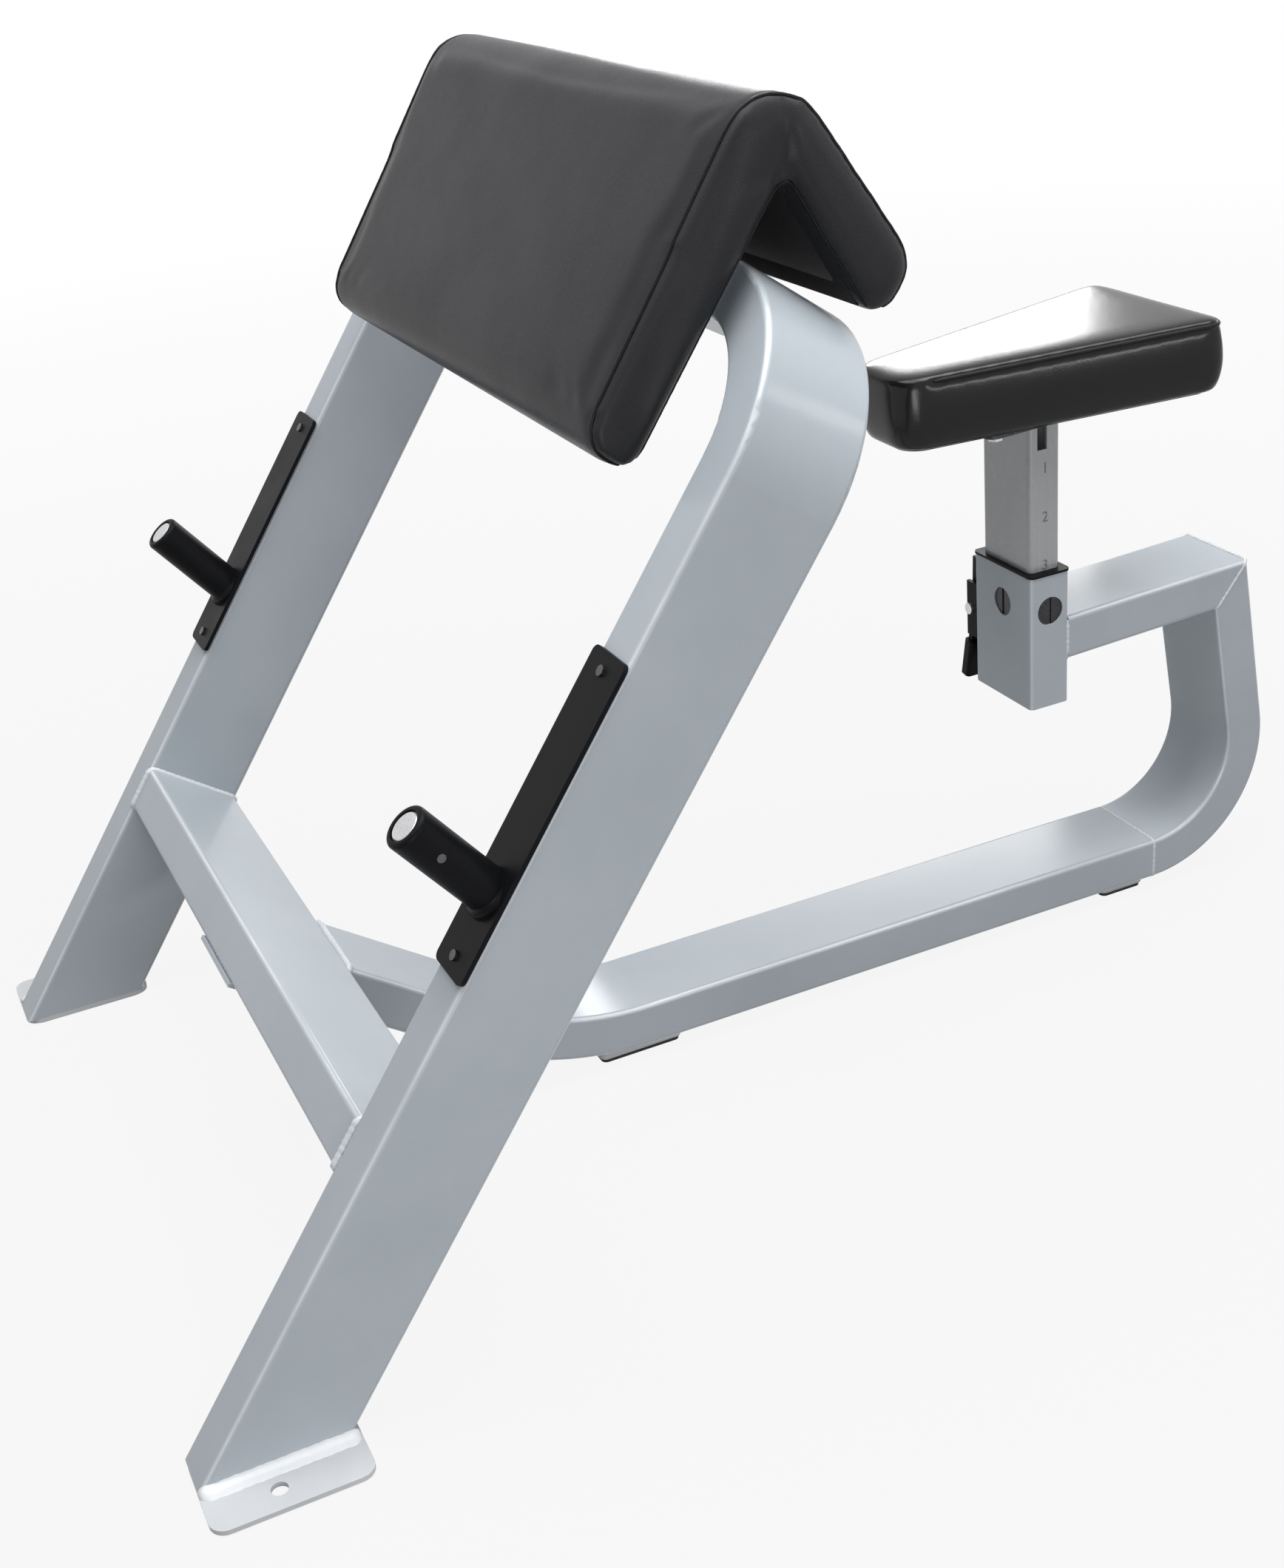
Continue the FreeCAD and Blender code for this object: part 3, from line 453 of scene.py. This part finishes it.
for side in (-1, 1):
    x = side * receiver_side
    ends = [post_frame @ Vector((x, receiver_side_back, height)) for height in receiver_side_ends]
    beads.append(bead(ends, False, receiver_side_bead))
# Paler than the frame's paint: a painted highlight on the beads.
weld_highlight_paint = powder_coat(
    "weld_highlight_paint", (0.58, 0.615, 0.65), (0.64, 0.675, 0.71), (0.70, 0.73, 0.76), (0.78, 0.80, 0.82)
)
piece("weld_beads", mesh_of("weld_beads", beads), weld_highlight_paint, "frame")


# Feet: pale painted plates with broad weld fillets along the legs, the fillets painted
# paler still as a painted highlight where light from above falls on them, pale blocks
# under the rail, and black rubber below all of them.
foot_paint = powder_coat(
    "foot_paint", (0.50, 0.515, 0.535), (0.55, 0.565, 0.585), (0.62, 0.635, 0.65), (0.70, 0.71, 0.72)
)
paint(foot_paint, "left_foot_plate", "right_foot_plate", "rail_mid_foot_block", "rail_rear_foot_block")
# Paler than the plates: a painted highlight on the fillets, lit from above.
fillet_highlight_paint = powder_coat(
    "fillet_highlight_paint", (0.64, 0.655, 0.675), (0.70, 0.715, 0.735), (0.78, 0.79, 0.805), (0.82, 0.83, 0.84)
)
fillet_width, fillet_height, fillet_root = 0.0105, 0.0065, 0.006
leg_outside, leg_front, leg_back = 0.401, -0.6486, -0.5204
rear_bead_y, rear_bead_z = -0.5255, 0.0065
rear_bead_ends = (0.396, 0.358)
rear_bead = 0.004
into_leg, into_plate = 0.002, 0.001
point_step = 0.003


def fillet(points, outward, width, height):
    points = resample(points, point_step, False)
    steps, crown = 6, 0.0007
    ripple, ripple_turn = 0.0003, 2.1
    drift, drift_turn = 0.0002, 0.77
    tip_points, taper_points = 2, 4
    rings = []
    for i, point in enumerate(points):
        wave = ripple * math.sin(i * ripple_turn) + drift * math.sin(i * drift_turn + 1)
        taper = min(1, (min(i, len(points) - 1 - i) + tip_points) / taper_points)
        wide = (width + wave) * taper
        high = (height + wave) * taper
        inside = point - outward * into_leg
        ring = [inside - z_axis * into_plate, inside + z_axis * high]
        for k in range(steps + 1):
            share = k / steps
            swell = crown * math.sin(math.pi * share)
            ring.append(point + outward * (wide * share + swell) + z_axis * (high * (1 - share) + swell))
        ring.append(point + outward * wide - z_axis * into_plate)
        rings.append(ring)
    return skin(rings, False)


fillets = []
for side in (-1, 1):
    outer = [Vector((side * leg_outside, y, fillet_root)) for y in (leg_front, leg_back)]
    fillets.append(fillet(outer, x_axis * side, fillet_width, fillet_height))
    behind = [Vector((side * x, rear_bead_y, rear_bead_z)) for x in rear_bead_ends]
    fillets.append(bead(behind, False, rear_bead))
piece("weld_fillets", mesh_of("weld_fillets", fillets), fillet_highlight_paint, "frame")

foot_rubber, tree, shader = surface("foot_rubber", Specular_IOR_Level=0.35)
pores = use(tree, grain, Scale=900, Strength=0.25, Depth=0.0006)
dust = use(tree, grain, Scale=30, Strength=0, Depth=0.001)
colour = ramp(tree, dust["Fac"], (0.35, (0.014, 0.014, 0.015)), (0.75, (0.032, 0.032, 0.033)))
wire(
    tree, shader, Base_Color=colour, Normal=pores["Normal"],
    Roughness=spread(tree, dust["Fac"], 0.68, 0.82),
)
paint(foot_rubber, "left_foot_rubber", "right_foot_rubber", "rail_mid_foot_rubber", "rail_rear_foot_rubber")


# Bar rests: moulded black covers with a fine spark texture, screwed to the legs
# with small dark screws, over steel pins whose pale sawn ends show.
def moulded(name, dark, light, rough_low, rough_high, scale):
    material, tree, shader = surface(name, Specular_IOR_Level=0.07)
    skin_grain = use(tree, grain, Scale=scale, Strength=0.16, Depth=0.0005)
    patchy = use(tree, grain, Scale=22, Strength=0, Depth=0.001)
    # Edges are lighter, partly as wear and partly as a painted highlight.
    worn_and_sheen = use(tree, wear_and_sheen, Reach=0.0012, Patch=70)
    patch_share = 0.45
    mix = sums(tree, "ADD", spread(tree, patchy["Fac"], 0, patch_share), worn_and_sheen["Fac"])
    colour = ramp(tree, mix, (0.1, dark), (1, light))
    wire(
        tree, shader, Base_Color=colour, Normal=skin_grain["Normal"],
        Roughness=spread(tree, patchy["Fac"], rough_low, rough_high),
    )
    return material


moulded_black = moulded(
    "moulded_black", (0.004, 0.0042, 0.005), (0.009, 0.0094, 0.0106),
    rough_low=0.34, rough_high=0.44, scale=1500,
)
paint(moulded_black, "left_bar_rest_cover", "right_bar_rest_cover")

drawn, given, result = group(
    "drawn_lines", [("Across", 900), ("Along", 12), ("Strength", 0.08)],
    [("Fac", "Float"), ("Normal", "Vector")],
)
place = put(drawn, "TexCoord").outputs["Object"]
stretch = put(drawn, "CombineXYZ", X=given["Across"], Y=given["Across"], Z=given["Along"]).outputs["Vector"]
scaled = worked(drawn, "VectorMath", "MULTIPLY", place, stretch)["Vector"]
lines = put(drawn, "TexNoise", Vector=scaled, Scale=1, Detail=4, Roughness=0.65).outputs["Fac"]
bump = put(drawn, "Bump", Strength=given["Strength"], Distance=0.0004, Height=lines)
wire(drawn, result, Fac=lines, Normal=bump.outputs["Normal"])


def bare_steel(name, dark, light, rough_low, rough_high, across, along, strength, metal=1):
    material, tree, shader = surface(name, Metallic=metal)
    drawn_lines = use(tree, drawn, Across=across, Along=along, Strength=strength)
    smudge = use(tree, grain, Scale=24, Strength=0, Depth=0.001)
    line_share, smudge_share = 0.6, 0.4
    lined = spread(tree, drawn_lines["Fac"], 0, line_share)
    mix = sums(tree, "ADD", lined, spread(tree, smudge["Fac"], 0, smudge_share))
    colour = ramp(tree, mix, (0.2, dark), (0.8, light))
    wire(
        tree, shader, Base_Color=colour, Normal=drawn_lines["Normal"],
        Roughness=spread(tree, mix, rough_low, rough_high, 0.2, 0.8),
    )
    return material


pin_steel = bare_steel(
    "pin_steel", (0.50, 0.50, 0.51), (0.66, 0.66, 0.67),
    rough_low=0.34, rough_high=0.46, across=700, along=700, strength=0.12,
)
paint(pin_steel, "left_bar_rest_pin", "right_bar_rest_pin")
screw_steel = bare_steel(
    "screw_steel", (0.07, 0.07, 0.073), (0.12, 0.12, 0.124),
    rough_low=0.26, rough_high=0.36, across=500, along=500, strength=0.06,
)
paint(screw_steel, "bar_rest_screws")


# Arm pad: one cushion of black grained vinyl over foam, bent over a V of two boards
# and bolted to the brackets. Each end is a puffed panel with a sewn-in welt, where
# a fold runs from the V's apex up to the ridge.
leather, given, result = group(
    "leather_grain", [("Scale", 420), ("Strength", 0.3)], [("Fac", "Float"), ("Normal", "Vector")]
)
place = put(leather, "TexCoord").outputs["Object"]
waver = put(leather, "TexNoise", Vector=place, Scale=90, Detail=2).outputs["Color"]
waver_reach = (0.004, 0.004, 0.004)
shifted = worked(leather, "VectorMath", "MULTIPLY_ADD", waver, waver_reach, place)["Vector"]
cells = put(
    leather, "TexVoronoi", {"feature": "DISTANCE_TO_EDGE"}, Vector=shifted, Scale=given["Scale"]
).outputs["Distance"]
domes = spread(leather, cells, 0, 1, 0, 0.22)
fine = put(leather, "TexNoise", Vector=place, Scale=1800, Detail=3).outputs["Fac"]
fine_share = 0.35
height = sums(leather, "MULTIPLY_ADD", fine, fine_share, domes)
bump = put(leather, "Bump", Strength=given["Strength"], Distance=0.0004, Height=height)
wire(leather, result, Fac=domes, Normal=bump.outputs["Normal"])


def vinyl(name, dark, light, rough_low, rough_high, strength, level):
    material, tree, shader = surface(name, Specular_IOR_Level=level)
    hide = use(tree, leather, Scale=430, Strength=strength)
    patchy = use(tree, grain, Scale=9, Strength=0, Depth=0.001)
    hide_share, patch_share = 0.4, 0.6
    mix = sums(tree, "MULTIPLY_ADD", hide["Fac"], hide_share, spread(tree, patchy["Fac"], 0, patch_share))
    colour = ramp(tree, mix, (0.1, dark), (0.9, light))
    wire(
        tree, shader, Base_Color=colour, Normal=hide["Normal"],
        Roughness=spread(tree, mix, rough_high, rough_low, 0.1, 0.9),
    )
    return material


# The pad's vinyl is the lighter, lit copy of the vinyl that the seat has in a darker, shaded copy.
pad_vinyl = vinyl(
    "pad_vinyl", (0.022, 0.022, 0.0246), (0.029, 0.029, 0.0325),
    rough_low=0.32, rough_high=0.42, strength=0.10, level=0.1,
)
# Welt vinyl is painted darker than the pad's cover: painted shade of the dark seam lines.
welt_vinyl_shaded = vinyl(
    "welt_vinyl_shaded", (0.005, 0.005, 0.0056), (0.009, 0.009, 0.01),
    rough_low=0.26, rough_high=0.36, strength=0.12, level=0.14,
)
zinc_steel = bare_steel(
    "zinc_steel", (0.52, 0.53, 0.54), (0.68, 0.69, 0.70),
    rough_low=0.26, rough_high=0.4, across=300, along=300, strength=0.06,
)
paint(zinc_steel, "pad_bolts")


def evaluated(made):
    graph = bpy.context.evaluated_depsgraph_get()
    return bpy.data.meshes.new_from_object(made.evaluated_get(graph))


def smoothed(made, turns):
    ease = made.modifiers.new("ease", "SMOOTH")
    ease.factor = 0.5
    ease.iterations = turns


# A cushion is remeshed evenly, blown up as cloth with its seams and board faces
# held, kept within a small reach of where it was, and smoothed.
def swollen(name, mesh, voxel, held, reach, pressure=4, frames=20, sink=0.0005):
    made = bpy.data.objects.new(name + "_start", mesh)
    scene.collection.objects.link(made)
    remesh = made.modifiers.new("even", "REMESH")
    remesh.mode = "VOXEL"
    remesh.voxel_size = voxel
    smoothed(made, 3)
    even = evaluated(made)
    made.modifiers.clear()
    made.data = even
    kept = made.vertex_groups.new(name="held")
    kept.add([vertex.index for vertex in even.vertices if held(vertex.co)], 1, "REPLACE")
    swell = made.modifiers.new("swell", "CLOTH")
    swell.settings.vertex_group_mass = "held"
    swell.settings.use_pressure = True
    swell.settings.uniform_pressure_force = pressure
    swell.settings.effector_weights.gravity = 0
    swell.settings.quality = 5
    swell.settings.tension_stiffness = 12
    swell.settings.compression_stiffness = 12
    swell.settings.bending_stiffness = 0.6
    for step in range(1, frames + 1):
        scene.frame_set(step)
    blown = evaluated(made)
    normals = [vertex.normal.copy() for vertex in even.vertices]
    for vertex, moved, normal in zip(even.vertices, blown.vertices, normals):
        way = moved.co - vertex.co
        if way.length > reach:
            way *= reach / way.length
        sunk = way.dot(normal) + sink
        if sunk < 0:
            way -= normal * sunk
        vertex.co += way
    made.modifiers.clear()
    scene.frame_set(1)
    smoothed(made, 8)
    made.data = evaluated(made)
    final = made.data
    bpy.data.objects.remove(made)
    final.name = name
    final.polygons.foreach_set("use_smooth", [True] * len(final.polygons))
    return final


def finder(points):
    tree = KDTree(len(points))
    for i, point in enumerate(points):
        tree.insert(point, i)
    tree.balance()
    return tree


def soft_piece(name, mesh, material, body):
    made = piece(name, mesh, material, body)
    finer = made.modifiers.new("finer", "SUBSURF")
    finer.levels = 1
    finer.render_levels = 1
    return made


# A welt is a thin piped edge laid on the cushion's skin along a seam and evened out.
def welt(name, points, radius, body, cover):
    lift, turns = 0.0004, 3
    ripple, pitch, sides = 0.00006, 3.1, 12
    skin_of = BVHTree.FromObject(cover, bpy.context.evaluated_depsgraph_get())
    laid = []
    for point in resample(points, point_step, False):
        spot, normal = skin_of.find_nearest(point)[:2]
        laid.append(spot + normal * lift)
    for turn in range(turns):
        before = laid[:1] + laid[:-1]
        after = laid[1:] + laid[-1:]
        laid = [(a + b * 2 + c) / 4 for a, b, c in zip(before, laid, after)]
    rings = bead_rings(laid, False, radius, ripple, pitch, sides)
    return piece(name, mesh_of(name, [skin(rings, False)]), welt_vinyl_shaded, body)


pad_half = 0.3052
board_y = -0.0145
pad_apex = Vector((0, board_y, 1.069))
front_bottom, front_thick = 0.830, 0.050
rear_long, rear_thick = 0.136, 0.055
rear_angle = math.radians(24.2)
rear_way = Vector((0, math.cos(rear_angle), -math.sin(rear_angle)))
rear_out = Vector((0, math.sin(rear_angle), math.cos(rear_angle)))
front_up = Matrix.Rotation(math.radians(2.2), 3, "X") @ z_axis
rear_up = Matrix.Rotation(math.radians(3.4), 3, "X") @ -rear_way
hem_radius, front_radius, ridge_radius, rear_radius, apex_radius = 0.017, 0.030, 0.046, 0.034, 0.003
cover_depth, seam_depth, seam_step = 0.0005, 0.0008, 0.004
seam_above, seam_ahead, seam_high = 0.006, 0.007, 0.9
board_grip, seam_grip = 0.004, 0.006
front_grip_drop, front_grip_reach = 0.01, 0.05
pad_voxel, pad_swell = 0.005, 0.004
seam_pull, seam_reach = 0.0012, 0.007
pad_heart = Vector((0, -0.04, 0.97))
hem_bottom, hem_long = 0.842, 0.126
panel_depth, panel_facing, panel_ease = 0.012, 0.5, 0.3
end_bulge, seam_rise, hem_rise = 0.008, 0.024, 0.014
fold_start, fold_long, fold_depth = -0.006, 0.08, 0.007
fold_above, fold_below = 0.003, 0.012
welt_clear, welt_drop, welt_front, welt_long = 0.008, 0.012, -0.02, 0.14
welt_inset, welt_radius = 0.0005, 0.0014
hem_inset, hem_welt_radius = 0.001, 0.0011


def meet(start, way, other, other_way):
    apart = other - start
    turn = way.y * other_way.z - way.z * other_way.y
    return start + way * ((apart.y * other_way.z - apart.z * other_way.y) / turn)


def pad_section(depth):
    bottom = front_bottom + depth
    front_low = Vector((0, board_y - front_thick + depth, bottom))
    rear_end = pad_apex + rear_way * (rear_long - depth)
    rear_low = rear_end + rear_out * (rear_thick - depth)
    ridge = meet(front_low, front_up, rear_low, rear_up)
    points = [Vector((0, board_y, bottom)), front_low, ridge, rear_low, rear_end, pad_apex]
    radii = [hem_radius, front_radius, ridge_radius, rear_radius, hem_radius, apex_radius]
    return corner_points(points, radii, point_step)


def above_rear(point):
    return (point - pad_apex).dot(rear_out)


def along_rear(point):
    return (point - pad_apex).dot(rear_way)


section = pad_section(cover_depth)
rings = [[point + x_axis * x for point in section] for x in (-pad_half, 0, pad_half)]
pad_start = mesh_of("pad_start", [skin(rings, False)])
outer_seam = [
    p for p in resample(pad_section(seam_depth), seam_step, True)
    if above_rear(p) > seam_above and (p.y < board_y - seam_ahead or p.z > seam_high)
]
pad_seams = finder([p + x_axis * (side * pad_half) for p in outer_seam for side in (-1, 1)])


def pad_held(point):
    on_front = point.z < pad_apex.z - front_grip_drop and along_rear(point) < front_grip_reach
    on_boards = point.y > board_y - board_grip and (above_rear(point) < board_grip or on_front)
    return on_boards or pad_seams.find(point)[2] < seam_grip


pad_mesh = swollen("arm_pad", pad_start, pad_voxel, pad_held, pad_swell)
inner_edge = [Vector((0, board_y, hem_bottom)), pad_apex, pad_apex + rear_way * hem_long]
fold_way = Vector((0, -1, (1 + math.sin(rear_angle)) / math.cos(rear_angle))).normalized()
fold_side = fold_way.cross(x_axis)


def rise(distance, width):
    return math.sin(math.pi / 2 * min(distance / width, 1))


def from_hem(point):
    spans = []
    for start, end in zip(inner_edge, inner_edge[1:]):
        way = end - start
        share = min(max((point - start).dot(way) / way.length_squared, 0), 1)
        spans.append((point - start - way * share).length)
    return min(spans)


ends_facing = [abs(vertex.normal.x) for vertex in pad_mesh.vertices]
for vertex, facing in zip(pad_mesh.vertices, ends_facing):
    near = pad_seams.find(vertex.co)[2]
    flat = Vector((0, vertex.co.y, vertex.co.z))
    if near < seam_reach:
        vertex.co += (pad_heart - flat).normalized() * seam_pull * (1 - near / seam_reach)
    if abs(vertex.co.x) > pad_half - panel_depth and facing > panel_facing:
        squarely = min((facing - panel_facing) / panel_ease, 1)
        bulge = end_bulge * rise(near, seam_rise) * rise(from_hem(flat), hem_rise) * squarely
        along = (flat - pad_apex).dot(fold_way)
        across = (flat - pad_apex).dot(fold_side)
        if along > fold_start:
            fade = max(0, 1 - along / fold_long)
            width = fold_above if across > 0 else fold_below
            bulge -= fold_depth * fade * math.exp(-abs(across) / width)
        vertex.co.x += math.copysign(bulge, vertex.co.x)
pad_mesh.transform(hoop_frame)
arm_pad = soft_piece("arm_pad", pad_mesh, pad_vinyl, "frame")
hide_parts("arm_pad_cushion")


def open_run(points, left_out):
    first = next(i for i, p in enumerate(points) if left_out(points[i - 1]) and not left_out(p))
    turned_round = points[first:] + points[:first]
    return [p for p in turned_round if not left_out(p)]


def on_board(point):
    by_front = point.y > board_y - welt_clear and point.z < pad_apex.z - welt_drop
    by_rear = point.y > welt_front and along_rear(point) < welt_long
    return above_rear(point) < welt_clear and (by_front or by_rear)


def end_line(points, x):
    return [hoop_frame @ (p + x_axis * x) for p in points]


welt_run = open_run(resample(pad_section(0), point_step, True), on_board)
for side, name in ((-1, "arm_pad_welt_left"), (1, "arm_pad_welt_right")):
    welt(name, end_line(welt_run, side * (pad_half - welt_inset)), welt_radius, "frame", arm_pad)
for side, name in ((-1, "arm_pad_hem_left"), (1, "arm_pad_hem_right")):
    welt(name, end_line(inner_edge, side * (pad_half - hem_inset)), hem_welt_radius, "frame", arm_pad)


# Boards: plywood under both cushions, its back covered with black dust cloth
# that is stapled on inside the V of the arm pad and under the seat.
lining, tree, shader = surface("lining", Specular_IOR_Level=0.2)
fibre = use(tree, grain, Scale=700, Strength=0.35, Depth=0.0006)
patchy = use(tree, grain, Scale=14, Strength=0, Depth=0.001)
colour = ramp(tree, fibre["Fac"], (0.3, (0.010, 0.010, 0.0115)), (0.75, (0.020, 0.020, 0.022)))
wire(
    tree, shader, Base_Color=colour, Normal=fibre["Normal"],
    Roughness=spread(tree, patchy["Fac"], 0.78, 0.92),
)
paint(lining, "arm_pad_front_board", "arm_pad_rear_board", "seat_board")


# Seat post, guide and latch: a bright steel post with printed height numbers that
# slides in black plastic liners, slotted plugs in the receiver's front and side, painted
# dark as painted shade of their recessed holes, and the black latch on the far side
# with its zinc-plated pin and spring.
post_steel = bare_steel(
    "post_steel", (0.362, 0.367, 0.377), (0.376, 0.381, 0.391),
    rough_low=0.25, rough_high=0.28, across=240, along=1.5, strength=0.002, metal=0.15,
)
paint(post_steel, "seat_post")
# Plugs painted near black: painted shade of their recessed holes.
plug_steel_shaded = bare_steel(
    "plug_steel_shaded", (0.035, 0.035, 0.038), (0.06, 0.06, 0.064),
    rough_low=0.3, rough_high=0.42, across=500, along=500, strength=0.08,
)
paint(plug_steel_shaded, "front_glide_plug", "side_glide_plug")
black_plastic = moulded(
    "black_plastic", (0.005, 0.005, 0.0056), (0.010, 0.010, 0.011),
    rough_low=0.4, rough_high=0.5, scale=1100,
)
paint(
    black_plastic, "receiver_upper_liner", "receiver_lower_liner", "post_end_plug", "latch_bracket",
    "latch_lever", "latch_grip",
)
paint(zinc_steel, "latch_pin", "latch_spring")
mark_ink, tree, shader = surface("mark_ink", Specular_IOR_Level=0.3)
rubbed = use(tree, grain, Scale=420, Strength=0.1, Depth=0.0002)
colour = ramp(tree, rubbed["Fac"], (0.4, (0.10, 0.10, 0.105)), (0.62, (0.26, 0.26, 0.27)))
wire(
    tree, shader, Base_Color=colour, Normal=rubbed["Normal"],
    Roughness=spread(tree, rubbed["Fac"], 0.4, 0.6),
)
post_side, post_middle = 0.0411, 0.023
for number, height in ((1, 0.160), (2, 0.110), (3, 0.060)):
    text = bpy.data.curves.new("numeral", "FONT")
    text.body = str(number)
    text.size = 0.015
    text.extrude = 0.00008
    text.align_x = "CENTER"
    text.align_y = "CENTER"
    drawn_text = bpy.data.objects.new("numeral", text)
    scene.collection.objects.link(drawn_text)
    mesh = evaluated(drawn_text)
    bpy.data.objects.remove(drawn_text)
    mesh.transform(Matrix(((0, 0, 1, post_side), (1, 0, 0, post_middle), (0, 1, 0, height), (0, 0, 0, 1))))
    mesh.transform(post_frame)
    piece("height_number_%d" % number, mesh, mark_ink, "seat")


# Seat: a tapered cushion of smoother, shinier vinyl, the pad's vinyl painted darker as painted shade,
# with a rounded nose, bulging sides and a nearly flat top, and a welt along the top of the sides and the
# rear.
# It sits on a board that is bolted to the post's dark steel plate.
dark_steel = bare_steel(
    "dark_steel", (0.035, 0.035, 0.038), (0.07, 0.07, 0.075),
    rough_low=0.34, rough_high=0.5, across=600, along=600, strength=0.1,
)
paint(dark_steel, "seat_plate")
paint(zinc_steel, "seat_bolts")
# The same vinyl as the pad's, painted darker: painted shade.
seat_vinyl_shaded = vinyl(
    "seat_vinyl_shaded", (0.006, 0.006, 0.0068), (0.009, 0.009, 0.0102),
    rough_low=0.16, rough_high=0.22, strength=0.05, level=0.24,
)
board_front_half, board_rear_half, board_long = 0.0445, 0.1045, 0.326
seat_front, seat_front_half, nose_radius = -0.1315, 0.0460, 0.030
seat_rear, seat_rear_half, tail_radius = 0.199, 0.1075, 0.014
seat_taper = (board_rear_half - board_front_half) / board_long
side_levels = [
    (0.2093, 0.009), (0.2125, 0.0055), (0.222, 0.0025), (0.238, 0.0005), (0.255, 0.001), (0.268, 0.0022),
]
crown_levels = [
    (0.2765, 0.0030), (0.2797, 0.0045), (0.2813, 0.009), (0.282, 0.018), (0.2824, 0.032),
]
seam_level, seam_inset, seam_front, sewn_front = 0.2768, 0.0022, -0.1, -0.098
held_below, held_above, seat_seam_grip = 0.2115, 0.2805, 0.0045
seat_voxel, seat_swell = 0.004, 0.0035
seat_middle, seat_pull, seat_pull_reach = 0.24, 0.0014, 0.006
seat_welt_radius = 0.0021


def seat_outline(level, inset):
    front, rear = seat_front + inset, seat_rear - inset
    front_half = seat_front_half + seat_taper * inset - inset
    rear_half = seat_rear_half - seat_taper * inset - inset
    points = [
        Vector((-front_half, front, level)), Vector((front_half, front, level)),
        Vector((rear_half, rear, level)), Vector((-rear_half, rear, level)),
    ]
    nose = nose_radius * front_half / board_front_half
    tail = tail_radius * rear_half / board_rear_half
    return corner_points(points, [nose, nose, tail, tail], point_step)


def even_outline(level, inset, count=220, overrun=1.0001):
    points = seat_outline(level, inset)
    length = sum((b - a).length for a, b in zip(points, points[1:] + points[:1]))
    made = resample(points, length / count * overrun, True)
    while len(made) < count:
        made.append(made[-1].lerp(made[0], 0.5))
    return made[:count]


rings = [even_outline(level, inset) for level, inset in side_levels + crown_levels]
seat_start = mesh_of("seat_start", [skin(rings, False)])
seat_seam = resample(seat_outline(seam_level, seam_inset), point_step, True)
seat_seams = finder([p for p in seat_seam if p.y > sewn_front])


def seat_held(point):
    on_flats = point.z < held_below or point.z > held_above
    return on_flats or seat_seams.find(point)[2] < seat_seam_grip


def before_seam(point):
    return point.y <= seam_front


seat_mesh = swollen("seat_pad", seat_start, seat_voxel, seat_held, seat_swell)
for vertex in seat_mesh.vertices:
    near = seat_seams.find(vertex.co)[2]
    if near < seat_pull_reach:
        inward = Vector((-vertex.co.x, 0, seat_middle - vertex.co.z)).normalized()
        vertex.co += inward * seat_pull * (1 - near / seat_pull_reach)
seat_mesh.transform(seat_frame)
seat_pad = soft_piece("seat_pad", seat_mesh, seat_vinyl_shaded, "seat")
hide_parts("seat_cushion")
seam_run = open_run(seat_seam, before_seam)
welt("seat_welt", [seat_frame @ p for p in seam_run], seat_welt_radius, "seat", seat_pad)
